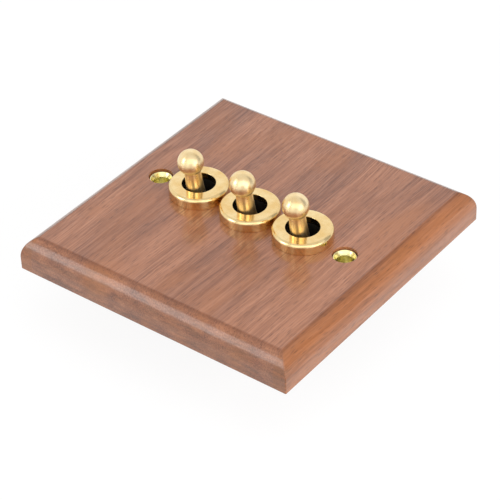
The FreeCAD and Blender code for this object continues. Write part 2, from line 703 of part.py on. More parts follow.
def outer_terminal(side, x, end):
    """A folded brass strip: a rear plate, a leg through the floor, and a shelf for a contact tip."""
    body = new_body(f"{side}_{end}_terminal", placed(x))
    way = ENDS[end]
    strip = sketch_on(body, "strip", "YZ_Plane")
    outline = [
        ("strip_start", "plate_under"),
        ("outer_end", "plate_under"),
        ("outer_end", "base_under"),
        ("strip_back", "base_under"),
        ("strip_back", "floor_top"),
        ("shelf_end", "floor_top"),
        ("shelf_end", "shelf_top"),
        ("strip_start", "shelf_top"),
    ]
    draw_outline(strip, [(f"{way} * {y}", z) for y, z in outline])
    pad_both_ways(body, strip, "strip_width")
    rear = sketch_on(body, "rear", "XY_Plane", "plate_under")
    draw_box(rear, "-terminal_width / 2", "terminal_width / 2", f"{way} * strip_start", f"{way} * outer_end")
    pad(body, rear, "terminal_thick")
    hole = sketch_on(body, "hole", "XY_Plane", "plate_under")
    draw_circle(hole, "0", f"{way} * terminal_pitch", "screw_dia / 2 + screw_gap")
    cut_up(body, hole, "terminal_thick")


def terminal_washers(side, x):
    """Three square washers under the heads of the terminal screws."""
    body = new_body(f"{side}_terminal_washers", placed(x))
    body.AllowCompound = True
    squares = sketch_on(body, "squares", "XY_Plane", "washer_under")
    for number in (-1, 0, 1):
        middle = f"{number} * terminal_pitch"
        faces = [f"{middle} - washer_side / 2", f"{middle} + washer_side / 2"]
        draw_box(squares, "-washer_side / 2", "washer_side / 2", *faces)
        draw_circle(squares, "0", middle, "screw_dia / 2 + screw_gap")
    pad(body, squares, "washer_thick")


def terminal_screws(side, x):
    """Three slotted screws with rounded heads, turned as one and repeated along the base."""
    body = new_body(f"{side}_terminal_screws", placed(x, "-terminal_pitch"))
    body.AllowCompound = True
    section = sketch_on(body, "section", "XZ_Plane")
    outline = [
        ("0", "head_under"),
        ("screw_head / 2 - head_round", "head_under"),
        ("screw_head / 2", "head_under + head_round"),
        ("screw_head / 2", "washer_under"),
        ("screw_dia / 2", "washer_under"),
        ("screw_dia / 2", "base_under + screw_reach"),
        ("0", "base_under + screw_reach"),
    ]
    draw_outline(section, outline, {1: ("head_round", 1)})
    turned = turn_about(body, section)
    slot = sketch_on(body, "slot", "YZ_Plane")
    draw_box(slot, "-slot_width / 2", "slot_width / 2", "head_under - slot_deep", "head_under + slot_deep")
    slotted = cut_through(body, slot)
    row = body.newObject("PartDesign::LinearPattern", f"{body.Name}_row")
    row.Originals = [turned, slotted]
    row.Direction = (next(axis for axis in body.Origin.OriginFeatures if axis.Role == "Y_Axis"), [""])
    row.Occurrences = 3
    row.setExpression("Length", bound("2 * terminal_pitch"))
    body.Tip = row


def dolly_switch(side, x):
    """One switch: the pieces on the plate, those that swing with the dolly, and the rocking contact."""
    leaning = placed(x, z="pivot_level", lean="tilt")
    rocked = placed(x, z="rocker_level", lean="-rocker_swing")
    ring_nut(side, x)
    dolly(side, leaning)
    lever(side, leaning)
    toggle_spring(side, leaning)
    plunger(side, leaning)
    pivot_pin(side, x)
    bush_cover(side, x)
    saddle(side, x)
    switch_base(side, x)
    rocker_contact(side, rocked)
    moving_tips(side, rocked)
    fixed_tips(side, x)
    common_terminal(side, x)
    for end in ENDS:
        outer_terminal(side, x, end)
    terminal_washers(side, x)
    terminal_screws(side, x)


def check_model():
    """Stops where an object failed, a cut took nothing away or a sub-part isn't sound."""
    for piece in document.Objects:
        if "Invalid" in piece.State or "Error" in piece.State:
            raise RuntimeError(f"{piece.Label} failed: {piece.State}")
        if piece.TypeId == "PartDesign::Pocket" and piece.Shape.Volume >= piece.BaseFeature.Shape.Volume:
            raise RuntimeError(f"{piece.Label} cuts nothing")
    for piece in subparts:
        if piece.Shape.isNull() or not piece.Shape.isValid() or not piece.Shape.Solids:
            raise RuntimeError(f"{piece.Label} isn't a sound solid")


walnut_plate()
for eyelet_side, eyelet_x in EYELETS.items():
    screw_eyelet(eyelet_side, eyelet_x)
for switch_side, switch_x in ROW.items():
    dolly_switch(switch_side, switch_x)
document.recompute()
check_model()

os.makedirs("parts", exist_ok=True)
for subpart in subparts:
    subpart.Shape.exportStep(f"parts/{subpart.Label}.step")
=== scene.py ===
"""Dresses a walnut wall plate with three brass dolly switches and sets it in a plain white studio.

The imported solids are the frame. The plate, its eyelets, the ring nuts and the dollies are drawn again as
finer surfaces, the moulded and stamped pieces behind the plate get softened edges, and the rest keeps its
solids.
Lengths are in millimetres in the classes and in metres in Blender.
"""

import json
import logging
import math
from dataclasses import dataclass
from enum import Enum
from typing import ClassVar

import bmesh
import bpy
import numpy as np
from mathutils import Matrix, Vector


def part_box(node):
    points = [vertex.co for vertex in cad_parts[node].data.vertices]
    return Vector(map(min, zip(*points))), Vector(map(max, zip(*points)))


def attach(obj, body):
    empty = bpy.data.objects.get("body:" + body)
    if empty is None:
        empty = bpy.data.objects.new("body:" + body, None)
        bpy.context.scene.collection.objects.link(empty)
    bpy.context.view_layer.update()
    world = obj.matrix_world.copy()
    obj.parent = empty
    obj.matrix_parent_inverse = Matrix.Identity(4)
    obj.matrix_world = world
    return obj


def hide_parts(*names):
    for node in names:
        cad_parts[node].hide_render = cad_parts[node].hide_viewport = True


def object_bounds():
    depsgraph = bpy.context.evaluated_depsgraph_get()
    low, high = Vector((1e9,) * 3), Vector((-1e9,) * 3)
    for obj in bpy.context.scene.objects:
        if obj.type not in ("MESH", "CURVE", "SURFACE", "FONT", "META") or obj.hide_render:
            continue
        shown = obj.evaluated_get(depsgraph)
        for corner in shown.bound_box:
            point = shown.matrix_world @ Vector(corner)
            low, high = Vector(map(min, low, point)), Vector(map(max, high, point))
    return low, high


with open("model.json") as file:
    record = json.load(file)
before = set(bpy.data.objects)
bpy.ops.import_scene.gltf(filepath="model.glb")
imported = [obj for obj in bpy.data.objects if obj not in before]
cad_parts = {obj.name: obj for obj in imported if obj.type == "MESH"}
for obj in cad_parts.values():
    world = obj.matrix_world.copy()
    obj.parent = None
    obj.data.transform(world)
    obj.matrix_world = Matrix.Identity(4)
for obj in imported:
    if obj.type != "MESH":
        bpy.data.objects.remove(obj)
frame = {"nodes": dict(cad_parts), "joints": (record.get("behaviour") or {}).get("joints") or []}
CAD_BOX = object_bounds()

MM = 0.001
# Points closer than these are one point, in metres in a mesh and in millimetres in a line.
MERGE = 1e-7
SAME_MM = 1e-6
# Faces that meet at less than this angle are one plane, and edges over the other one are bevelled.
PLANE_DEG = 0.5
BEVEL_DEG = 30.0
WHITE = "FFFFFF"
# Noise at which the dark and the light tone of a metal or a plastic are full.
TONES_AT = (0.3, 0.7)
# Refractive index of lacquer and plastics.
RESIN_IOR = 1.5
# Weight of a large face's normal over those of its small neighbours, of 100.
LARGE_FACES = 80
LOG = logging.getLogger("dolly_plate")

Material = bpy.types.Material
Tree = bpy.types.NodeTree
Socket = bpy.types.NodeSocket
Triple = tuple[float, float, float]
Pair = tuple[float, float]


class Slot(Enum):
    """The record's material slots."""

    WALNUT = "walnut"
    SATIN_BRASS = "satin_brass"
    POLISHED_BRASS = "polished_brass"
    BLACK_NYLON = "black_nylon"
    BLACK_PHENOLIC = "black_phenolic"
    ZINC = "zinc_plated_steel"
    SPRING_STEEL = "spring_steel"
    COPPER = "contact_copper"
    SILVER = "contact_silver"
    TERMINAL_BRASS = "terminal_brass"


class Side(Enum):
    """The three switches of the row."""

    LEFT = "left"
    MIDDLE = "middle"
    RIGHT = "right"


# Shapes


@dataclass
class Patch:
    """A surface as a grid of points in rows and columns.

    Attributes:
        points: Rows by columns by three, in millimetres.
        wrap_rows: Whether the last row joins the first.
        wrap_columns: Whether the last column joins the first.
    """

    points: np.ndarray
    wrap_rows: bool = False
    wrap_columns: bool = False

    def faces(self) -> tuple[np.ndarray, np.ndarray]:
        """Joins neighbouring points to four-sided faces.

        Returns:
            The faces as numbers of points, and for each corner its column's share of a turn and the length in
            millimetres from the first row to its own.
        """
        rows, columns = self.points.shape[:2]
        i, j = np.meshgrid(
            np.arange(rows if self.wrap_rows else rows - 1),
            np.arange(columns if self.wrap_columns else columns - 1),
            indexing="ij",
        )
        row = np.stack([i, i, i + 1, i + 1], axis=-1).reshape(-1, 4)
        column = np.stack([j, j + 1, j + 1, j], axis=-1).reshape(-1, 4)
        ring = np.concatenate([self.points, self.points[:1]])
        steps = np.linalg.norm(np.diff(ring, axis=0), axis=2).max(axis=1)
        length = np.concatenate([[0.0], np.cumsum(steps)])
        uv = np.stack([column / columns, length[row]], axis=-1)
        return (row % rows) * columns + column % columns, uv


def distinct(line: np.ndarray, closed: bool) -> np.ndarray:
    """Leaves out each point of a line that lies on the point before it.

    Args:
        line: The line's points, as many by two.
        closed: Whether the last point comes before the first.

    Returns:
        The points that lie apart.
    """
    apart = np.linalg.norm(line - np.roll(line, 1, axis=0), axis=1) > SAME_MM
    apart[0] |= not closed
    return line[apart]


def fillet(corners: np.ndarray, radii: np.ndarray, closed: bool, steps: int = 5) -> np.ndarray:
    """Rounds the corners of a flat line.

    Each corner becomes an arc that is tangent to both its edges: it starts radius times tan(turn / 2) before
    the corner and turns about a centre one radius to the side.

    Args:
        corners: The line's corners, as many by two.
        radii: One radius for each corner, 0 for a sharp one.
        closed: Whether the last corner joins the first.
        steps: The edges of each arc.

    Returns:
        The points of the rounded line.
    """
    before, after = np.roll(corners, 1, axis=0), np.roll(corners, -1, axis=0)
    if not closed:
        before[0] = 2 * corners[0] - corners[1]
        after[-1] = 2 * corners[-1] - corners[-2]
    arrive, leave = corners - before, after - corners
    arrive = arrive / np.linalg.norm(arrive, axis=1, keepdims=True)
    leave = leave / np.linalg.norm(leave, axis=1, keepdims=True)
    cross = arrive[:, 0] * leave[:, 1] - arrive[:, 1] * leave[:, 0]
    turn = np.arctan2(cross, (arrive * leave).sum(axis=1))
    start = corners - arrive * (radii * np.tan(np.abs(turn) / 2))[:, None]
    side = np.sign(turn)[:, None] * np.stack([-arrive[:, 1], arrive[:, 0]], axis=1)
    centre = start + side * radii[:, None]
    angle = turn[:, None] * np.linspace(0, 1, steps + 1)
    arm = start - centre
    x = centre[:, :1] + arm[:, :1] * np.cos(angle) - arm[:, 1:] * np.sin(angle)
    y = centre[:, 1:] + arm[:, :1] * np.sin(angle) + arm[:, 1:] * np.cos(angle)
    return distinct(np.stack([x, y], axis=-1).reshape(-1, 2), closed)


def arc(start: np.ndarray, end: np.ndarray, radius: float, steps: int) -> np.ndarray:
    """Points on an arc from start to end, with its centre to the left for a positive radius.

    The centre lies on the chord's middle normal, at the height that Pythagoras gives.

    Args:
        start: The first point.
        end: The last point.
        radius: The arc's radius, negative for a centre to the right.
        steps: The number of edges.

    Returns:
        The points, start and end among them.
    """
    chord = end - start
    half = np.linalg.norm(chord) / 2
    normal = np.array([-chord[1], chord[0]]) / (2 * half)
    centre = (start + end) / 2 + normal * math.copysign(math.sqrt(radius**2 - half**2), radius)
    turn = 2 * math.asin(half / radius)
    angle = turn * np.linspace(0, 1, steps + 1)
    arm = start - centre
    x = centre[0] + arm[0] * np.cos(angle) - arm[1] * np.sin(angle)
    y = centre[1] + arm[0] * np.sin(angle) + arm[1] * np.cos(angle)
    return np.stack([x, y], axis=1)


def turned(profile: np.ndarray, around: int, closed: bool) -> Patch:
    """Carries a profile of radius and height round the Z axis.

    A point is (r cos a, r sin a, h) for the angle a of its column.

    Args:
        profile: Radius and height of each point.
        around: The number of columns.
        closed: Whether the profile's end joins its start.

    Returns:
        The turned surface about the origin.
    """
    angle = np.linspace(0, 2 * math.pi, around, endpoint=False)
    radius, height = profile[:, :1], np.broadcast_to(profile[:, 1:], (len(profile), around))
    points = np.stack([radius * np.cos(angle), radius * np.sin(angle), height], axis=-1)
    return Patch(points, wrap_rows=closed, wrap_columns=True)


def stacked(flat: np.ndarray, heights: np.ndarray) -> Patch:
    """Closed rings of flat points, each at its own height.

    Args:
        flat: Rows by columns by two.
        heights: One height for each row.

    Returns:
        The surface through the rings.
    """
    level = np.broadcast_to(heights[:, None, None], flat.shape[:2] + (1,))
    return Patch(np.concatenate([flat, level], axis=2), wrap_columns=True)


def piece(name: str, patches: list[Patch], sharp_deg: float = 60.0) -> bpy.types.Object:
    """Makes one closed mesh object of several surfaces, in place in the frame.

    Args:
        name: The object's name.
        patches: Its surfaces, in millimetres.
        sharp_deg: The angle over which an edge isn't shaded smooth.

    Returns:
        The object, with a UV map of column share and row length.
    """
    points, faces, uvs, count = [], [], [], 0
    for patch in patches:
        quads, uv = patch.faces()
        points.append(patch.points.reshape(-1, 3))
        faces.append(quads + count)
        uvs.append(uv.reshape(-1, 2))
        count += len(points[-1])
    mesh = bpy.data.meshes.new(name)
    mesh.from_pydata((np.concatenate(points) * MM).tolist(), [], np.concatenate(faces).tolist())
    layer = mesh.uv_layers.new(name="UVMap")
    layer.data.foreach_set("uv", np.concatenate(uvs).astype(np.float32).ravel())
    return finished(name, mesh, sharp_deg)


def finished(name: str, mesh: bpy.types.Mesh, sharp_deg: float, flatten: bool = False) -> bpy.types.Object:
    """Merges a mesh's doubles, turns its faces outwards and makes it an object with smooth shading.

    Args:
        name: The object's name.
        mesh: The mesh, in metres.
        sharp_deg: The angle over which an edge isn't shaded smooth.
        flatten: Whether triangles in one plane are joined.

    Returns:
        The object in the scene.
    """
    work = bmesh.new()
    work.from_mesh(mesh)
    bmesh.ops.remove_doubles(work, verts=work.verts, dist=MERGE)
    bmesh.ops.dissolve_degenerate(work, edges=work.edges, dist=MERGE)
    if flatten:
        limit = math.radians(PLANE_DEG)
        bmesh.ops.dissolve_limit(work, angle_limit=limit, verts=work.verts, edges=work.edges)
    bmesh.ops.recalc_face_normals(work, faces=work.faces)
    work.to_mesh(mesh)
    work.free()
    mesh.shade_smooth()
    mesh.set_sharp_from_angle(angle=math.radians(sharp_deg))
    made = bpy.data.objects.new(name, mesh)
    bpy.context.scene.collection.objects.link(made)
    return made


def even_shading(made: bpy.types.Object) -> None:
    """Keeps flat faces flat beside their small roundings, by weighting normals with face area."""
    weighted = made.modifiers.new("even_shading", "WEIGHTED_NORMAL")
    weighted.mode = "FACE_AREA"
    weighted.weight = LARGE_FACES
    weighted.keep_sharp = True


def softened(node: str, width: float) -> bpy.types.Object:
    """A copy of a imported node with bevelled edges.

    Args:
        node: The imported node's name.
        width: The bevel's width in millimetres.

    Returns:
        The copy, at the node's place.
    """
    source = frame["nodes"][node].data
    points = np.empty(len(source.vertices) * 3, np.float32)
    source.vertices.foreach_get("co", points)
    corners = np.empty(len(source.loops), np.int32)
    source.loops.foreach_get("vertex_index", corners)
    mesh = bpy.data.meshes.new(f"{node}_finished")
    mesh.from_pydata(points.reshape(-1, 3).tolist(), [], corners.reshape(-1, 3).tolist())
    made = finished(f"{node}_finished", mesh, BEVEL_DEG, flatten=True)
    bevel = made.modifiers.new("soft_edges", "BEVEL")
    bevel.width = width * MM
    bevel.segments = 2
    bevel.limit_method = "ANGLE"
    bevel.angle_limit = math.radians(BEVEL_DEG)
    bevel.harden_normals = True
    return made


def keep(made: bpy.types.Object, body: str, slot: Slot, finish: Material, *nodes: str) -> None:
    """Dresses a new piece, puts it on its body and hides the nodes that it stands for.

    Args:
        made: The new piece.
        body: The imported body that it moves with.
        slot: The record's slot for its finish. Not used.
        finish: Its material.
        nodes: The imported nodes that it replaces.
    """
    made.data.materials.clear()
    made.data.materials.append(finish)
    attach(made, body)
    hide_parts(*nodes)
    LOG.info("%s rides on %s and stands for %s", made.name, body, ", ".join(nodes))


# Finishes


def linear(hex_colour: str) -> tuple[float, float, float, float]:
    """Turns an sRGB hex colour into linear red, green, blue and alpha, by the sRGB curve."""
    share = np.array([int(hex_colour[k : k + 2], 16) for k in (0, 2, 4)]) / 255
    flat = np.where(share <= 0.04045, share / 12.92, ((share + 0.055) / 1.055) ** 2.4)
    return (*flat.tolist(), 1.0)


def add_node(
    tree: Tree, kind: str, inputs: dict, stops: list | None = None, out: int | str = 0, **settings: object
) -> Socket | None:
    """Adds a node with its settings, its inputs and the stops of its ramp.

    Args:
        tree: The node tree.
        kind: The end of the node's type name.
        inputs: For each input's name or number, a value or the socket that feeds it. A MapRange has the
            limits that it maps from at 1 and 2, and those that it maps to at 3 and 4. A Mix of colours has
            its share at 0, its colours at 6 and 7, and its result at output 2.
        stops: Place and hex colour of each stop of a colour ramp.
        out: Name or number of the output that is wanted.
        settings: The node's own properties.

    Returns:
        That output, or nothing for a node without outputs.
    """
    node = tree.nodes.new(f"ShaderNode{kind}")
    for name, setting in settings.items():
        setattr(node, name, setting)
    for key, given in inputs.items():
        if isinstance(given, Socket):
            tree.links.new(given, node.inputs[key])
        else:
            node.inputs[key].default_value = given
    if stops:
        elements = node.color_ramp.elements
        while len(elements) < len(stops):
            elements.new(1.0)
        for element, (place, colour) in zip(elements, stops):
            element.position = place
            element.color = linear(colour)
    return node.outputs[out] if node.outputs else None


def new_material(name: str) -> tuple[Material, Tree]:
    """An empty node material and its tree."""
    material = bpy.data.materials.new(name)
    material.use_nodes = True
    material.node_tree.nodes.clear()
    return material, material.node_tree


def millimetres(tree: Tree) -> Socket:
    """Object coordinates in millimetres."""
    place = add_node(tree, "TexCoord", {}, out="Object")
    return add_node(tree, "VectorMath", {0: place, "Scale": 1 / MM}, operation="SCALE")


def stretched(tree: Tree, place: Socket, sizes: Triple) -> Socket:
    """Coordinates in which one unit is the given number of millimetres along X, Y and Z."""
    counts = tuple(1 / size for size in sizes)
    return add_node(tree, "VectorMath", {0: place, 1: counts}, operation="MULTIPLY")


def surface(tree: Tree, inputs: dict) -> None:
    """Ends a material in a Principled shader with these inputs."""
    shader = add_node(tree, "BsdfPrincipled", inputs)
    add_node(tree, "OutputMaterial", {"Surface": shader})


@dataclass(frozen=True)
class LacqueredWalnut:
    """Planed black walnut under a satin lacquer.

    The eye gets soft light and dark bands along the board with warmer patches, fine fibres, short open pores
    that turn to dots on the end grain, warmer wood on the long edges, deepened into a painted orange where an
    edge mirrors little light, a painted shade in the crease round the face, and a pale veil where the lacquer
    mirrors the room. The veil is weaker over dark fibres and pores, where the lacquer sinks in.

    Attributes:
        name: The material's name.
        light, middle, dark: Tones of the wood, from pale bands to dark fibres.
        warm: Tone of the orange patches.
        pore: Tone of the open pores.
        edge: Tone of the long edges: warmer wood that they cut into, deepened to a painted orange for edges
            that mirror little light.
        end_grain, ring: Shares of the wood's colour left where fibres are cut, between and on the rings.
        crease: Share of the wood's colour that is left in the crease between face and edge, as painted shade.
        drift_mm, bend_mm: Sizes of the slow bends of the grain, and their reach.
        band_mm, patch_mm, fibre_mm, pore_mm, ring_mm: Figure sizes across, along and through the board.
        ends_mm, edge_mm: Distances from the middle at which end grain and the partly painted edge tone start
            and are full.
        crease_shade_mm: Distances from the middle between which the painted crease shade lies.
        band_at, fibre_at, ring_at, crease_shade_at: Places of the tones on each figure's scale and on the
        painted crease shade.
        fibre_share: Share of the fibres in the grain, against the bands.
        patch_at, patch_share: Noise at which a patch starts and is full, and its largest share.
        pore_at, pore_share: Distances from a cell's middle, in cells, up to which a pore is full and at which
            it ends, and its largest share.
        edge_share: Share of the partly painted edge tone on the long edges.
        edge_rings: Strength of the rings there, for each share of the edge tone.
        film_at, film_fibres, film_pores: Noise of dark and pale fibres, and the lacquer's weight over dark
            ones and over pores.
        rough, film_rough: Roughness of the wood and of the lacquer.
        dent, dent_mm: Strength and depth of the relief of the pores.
    """

    name: str = "lacquered_walnut"
    light: str = "BE7A52"
    middle: str = "9A5C38"
    dark: str = "6A3620"
    warm: str = "B0662A"
    pore: str = "4A281A"
    edge: str = "A25A16"
    end_grain: str = "F8FCFF"
    ring: str = "D8DFE4"
    crease: str = "D2C6B6"
    drift_mm: Triple = (30.0, 90.0, 30.0)
    bend_mm: Triple = (6.0, 0.0, 6.0)
    band_mm: Triple = (7.0, 85.0, 3.5)
    patch_mm: Triple = (11.0, 26.0, 11.0)
    fibre_mm: Triple = (0.36, 20.0, 0.36)
    # Real pores are about 0.15 mm wide. They are drawn about twice as wide, so that they show in the picture.
    pore_mm: Triple = (0.42, 3.6, 0.42)
    ring_mm: Triple = (7.0, 40.0, 0.9)
    ends_mm: Pair = (38.8, 41.5)
    edge_mm: Pair = (38.8, 39.4)
    crease_shade_mm: Pair = (38.6, 40.2)
    band_at: Triple = (0.33, 0.5, 0.67)
    fibre_at: Triple = (0.33, 0.5, 0.66)
    ring_at: Pair = (0.38, 0.6)
    crease_shade_at: float = 0.45
    fibre_share: float = 0.5
    patch_at: Pair = (0.5, 0.72)
    patch_share: float = 0.55
    pore_at: Pair = (0.1, 0.4)
    pore_share: float = 0.75
    edge_share: float = 0.45
    edge_rings: float = 1.5
    film_at: Pair = (0.35, 0.65)
    film_fibres: float = 0.5
    film_pores: float = 0.25
    rough: float = 0.4
    film_rough: float = 0.14
    dent: float = 0.15
    dent_mm: float = 0.05

    def bent(self, tree: Tree, place: Socket) -> Socket:
        """Coordinates in millimetres that drift slowly, so that no figure runs quite straight."""
        slow = stretched(tree, place, self.drift_mm)
        drift = add_node(tree, "TexNoise", {"Vector": slow, "Scale": 1.0, "Detail": 2.0}, out="Color")
        return add_node(tree, "VectorMath", {0: drift, 1: self.bend_mm, 2: place}, operation="MULTIPLY_ADD")

    def grain(self, tree: Tree, bent: Socket) -> tuple[Socket, Socket]:
        """The colour of bands, fibres and warmer patches on drifting coordinates, and the fibres' noise."""
        tones = (self.dark, self.middle, self.light)
        wide, fine = (
            add_node(
                tree,
                "TexNoise",
                {"Vector": stretched(tree, bent, sizes), "Scale": 1.0, "Detail": 2.0, "Roughness": 0.6},
            )
            for sizes in (self.band_mm, self.fibre_mm)
        )
        bands = add_node(tree, "ValToRGB", {0: wide}, list(zip(self.band_at, tones)))
        fibres = add_node(tree, "ValToRGB", {0: fine}, list(zip(self.fibre_at, tones)))
        plain = add_node(tree, "Mix", {0: self.fibre_share, 6: bands, 7: fibres}, out=2, data_type="RGBA")
        place = stretched(tree, bent, self.patch_mm)
        cloud = add_node(tree, "TexNoise", {"Vector": place, "Scale": 1.0, "Detail": 1.0})
        start, full = self.patch_at
        glow = add_node(tree, "MapRange", {"Value": cloud, 1: start, 2: full, 3: 0.0, 4: self.patch_share})
        colour = add_node(tree, "Mix", {0: glow, 6: plain, 7: linear(self.warm)}, out=2, data_type="RGBA")
        return colour, fine

    def pores(self, tree: Tree, bent: Socket) -> tuple[Socket, Socket]:
        """The share of open pore in long cells of different depth, and the distance from a cell's middle."""
        place = stretched(tree, bent, self.pore_mm)
        distance = add_node(tree, "TexVoronoi", {"Vector": place, "Scale": 1.0}, out="Distance")
        full, end = self.pore_at
        near = add_node(tree, "MapRange", {"Value": distance, 1: full, 2: end, 3: self.pore_share, 4: 0.0})
        depth = distance.node.outputs["Color"]
        return add_node(tree, "Math", {0: near, 1: depth}, operation="MULTIPLY"), distance

    def film(self, tree: Tree, fine: Socket, pores: Socket) -> Socket:
        """The lacquer's weight, less over dark fibres and over pores."""
        over_pores = add_node(tree, "MapRange", {"Value": pores, 3: 1.0, 4: self.film_pores})
        dark, pale = self.film_at
        weights = {"Value": fine, 1: dark, 2: pale, 3: self.film_fibres, 4: 1.0}
        over_fibres = add_node(tree, "MapRange", weights)
        return add_node(tree, "Math", {0: over_pores, 1: over_fibres}, operation="MULTIPLY")

    def rings(self, tree: Tree, bent: Socket) -> Socket:
        """The year rings that show where fibres are cut, as shares of the wood's colour."""
        place = stretched(tree, bent, self.ring_mm)
        years = add_node(tree, "TexNoise", {"Vector": place, "Scale": 1.0, "Detail": 3.0})
        return add_node(tree, "ValToRGB", {0: years}, list(zip(self.ring_at, (self.ring, self.end_grain))))

    def painted_crease_shade(self, tree: Tree, across: Socket, along: Socket) -> Socket:
        """The painted shade along the crease round the face, as a share of the wood's colour, white away from
        the line.
        """
        farther = add_node(tree, "Math", {0: across, 1: along}, operation="MAXIMUM")
        start, end = self.crease_shade_mm
        beside = add_node(tree, "MapRange", {"Value": farther, 1: start, 2: end})
        stops = [(0.0, WHITE), (self.crease_shade_at, self.crease), (1.0, WHITE)]
        return add_node(tree, "ValToRGB", {0: beside}, stops)

    def material(self) -> Material:
        """Builds the node material."""
        material, tree = new_material(self.name)
        place = millimetres(tree)
        bent = self.bent(tree, place)
        wood, fine = self.grain(tree, bent)
        pores, from_pore = self.pores(tree, bent)
        sides = add_node(tree, "SeparateXYZ", {0: place}).node.outputs
        across, along = (add_node(tree, "Math", {0: sides[axis]}, operation="ABSOLUTE") for axis in "XY")
        # Partly painted: the long edges take a deeper orange than the wood alone, standing in for an edge
        # that mirrors little light.
        start, full = self.edge_mm
        edges = add_node(tree, "MapRange", {"Value": across, 1: start, 2: full, 4: self.edge_share})
        edged = add_node(tree, "Mix", {0: edges, 6: wood, 7: linear(self.edge)}, out=2, data_type="RGBA")
        pored = add_node(tree, "Mix", {0: pores, 6: edged, 7: linear(self.pore)}, out=2, data_type="RGBA")
        start, full = self.ends_mm
        ends = add_node(tree, "MapRange", {"Value": along, 1: start, 2: full})
        streaks = add_node(tree, "Math", {0: edges, 1: self.edge_rings}, operation="MULTIPLY")
        cut = add_node(tree, "Math", {0: ends, 1: streaks}, operation="MAXIMUM")
        darker = {"out": 2, "data_type": "RGBA", "blend_type": "MULTIPLY"}
        ringed = add_node(tree, "Mix", {0: cut, 6: pored, 7: self.rings(tree, bent)}, **darker)
        # Painted shade: the crease between face and edge is darkened.
        crease = self.painted_crease_shade(tree, across, along)
        colour = add_node(tree, "Mix", {0: 1.0, 6: ringed, 7: crease}, **darker)
        dents = {"Height": from_pore, "Strength": self.dent, "Distance": self.dent_mm * MM}
        surface(
            tree,
            {
                "Base Color": colour,
                "Roughness": self.rough,
                "IOR": RESIN_IOR,
                "Coat Weight": self.film(tree, fine, pores),
                "Coat Roughness": self.film_rough,
                "Normal": add_node(tree, "Bump", dents),
            },
        )
        return material


@dataclass(frozen=True)
class TurnedBrass:
    """Brass turned on a lathe and rubbed down, bright or satin.

    The eye gets warm gold with very fine lines round the piece, which spread each highlight across them.

    Attributes:
        name: The material's name.
        light, dark: Tones of the metal, which drift over drift_mm.
        rough: Roughness, from which the lines differ by up to the share uneven.
        spread: How much more the lines spread light across them than along them.
        line_mm: Distance between the lines.
        line_strength, line_deep_mm: Strength and depth of their relief.
        per_turn: Stretches into which a line breaks in one turn.
        across: Turn from the lines to the way in which they spread light, in full turns.
    """

    name: str
    light: str
    dark: str
    rough: float
    spread: float
    # Real turned lines are about 0.05 mm apart. They are drawn wider, so that they show in the picture.
    line_mm: float
    line_strength: float
    line_deep_mm: float = 0.02
    per_turn: float = 6.0
    uneven: float = 0.2
    drift_mm: Triple = (3.0, 3.0, 3.0)
    across: float = 0.25

    def material(self) -> Material:
        """Builds the node material on the UV map of turned pieces: share of a turn, length of profile."""
        material, tree = new_material(self.name)
        uv = add_node(tree, "UVMap", {}, uv_map="UVMap")
        counts = (self.per_turn, 1 / self.line_mm, 0)
        unrolled = add_node(tree, "VectorMath", {0: uv, 1: counts}, operation="MULTIPLY")
        lines = add_node(tree, "TexNoise", {"Vector": unrolled, "Scale": 1.0, "Detail": 2.0})
        place = stretched(tree, millimetres(tree), self.drift_mm)
        cloud = add_node(tree, "TexNoise", {"Vector": place, "Scale": 1.0})
        stops = list(zip(TONES_AT, (self.dark, self.light)))
        tone = add_node(tree, "ValToRGB", {0: cloud}, stops)
        smooth, dull = self.rough * (1 - self.uneven), self.rough * (1 + self.uneven)
        rough = add_node(tree, "MapRange", {"Value": lines, 3: smooth, 4: dull})
        relief = {"Height": lines, "Strength": self.line_strength, "Distance": self.line_deep_mm * MM}
        around = add_node(tree, "Tangent", {}, direction_type="UV_MAP", uv_map="UVMap")
        surface(
            tree,
            {
                "Base Color": tone,
                "Metallic": 1.0,
                "Roughness": rough,
                "Normal": add_node(tree, "Bump", relief),
                "Anisotropic": self.spread,
                "Anisotropic Rotation": self.across,
                "Tangent": around,
            },
        )
        return material


@dataclass(frozen=True)
class Grained:
    """What the metals and plastics of the working parts share: tones, gloss and relief that follow one grain.

    Attributes:
        name: The material's name.
        light, dark: Tones of the grain.
        rough, uneven: Roughness, and the share by which the grain makes it differ.
        grain_mm: Sizes of the grain across, along and through the piece.
        detail: Number of finer layers in the grain.
        relief, relief_mm: Strength and depth of the grain's relief.
        metallic: 1 for metal and 0 for plastic.
    """

    name: str
    light: str
    dark: str
    rough: float
    uneven: float = 0.0
    grain_mm: Triple = (1.0, 1.0, 1.0)
    detail: float = 3.0
    relief: float = 0.1
    relief_mm: float = 0.02
    metallic: float = 0.0

    def material(self) -> Material:
        """Builds the node material."""
        material, tree = new_material(self.name)
        place = stretched(tree, millimetres(tree), self.grain_mm)
        grain = add_node(tree, "TexNoise", {"Vector": place, "Scale": 1.0, "Detail": self.detail})
        tone = add_node(tree, "ValToRGB", {0: grain}, list(zip(TONES_AT, (self.dark, self.light))))
        rough = self.rough
        if self.uneven:
            smooth, dull = self.rough * (1 - self.uneven), self.rough * (1 + self.uneven)
            rough = add_node(tree, "MapRange", {"Value": grain, 3: smooth, 4: dull})
        relief = {"Height": grain, "Strength": self.relief, "Distance": self.relief_mm * MM}
        inputs = {"Base Color": tone, "Metallic": self.metallic, "Roughness": rough, "IOR": RESIN_IOR}
        surface(tree, {**inputs, "Normal": add_node(tree, "Bump", relief)})
        return material


@dataclass(frozen=True)
class SheetMetal(Grained):
    """Rolled, drawn or plated metal of the working parts.

    The eye gets a plain metal with faint rolling streaks along the piece and a slightly uneven gloss.
    """

    uneven: float = 0.3
    grain_mm: Triple = (0.6, 9.0, 0.6)
    metallic: float = 1.0


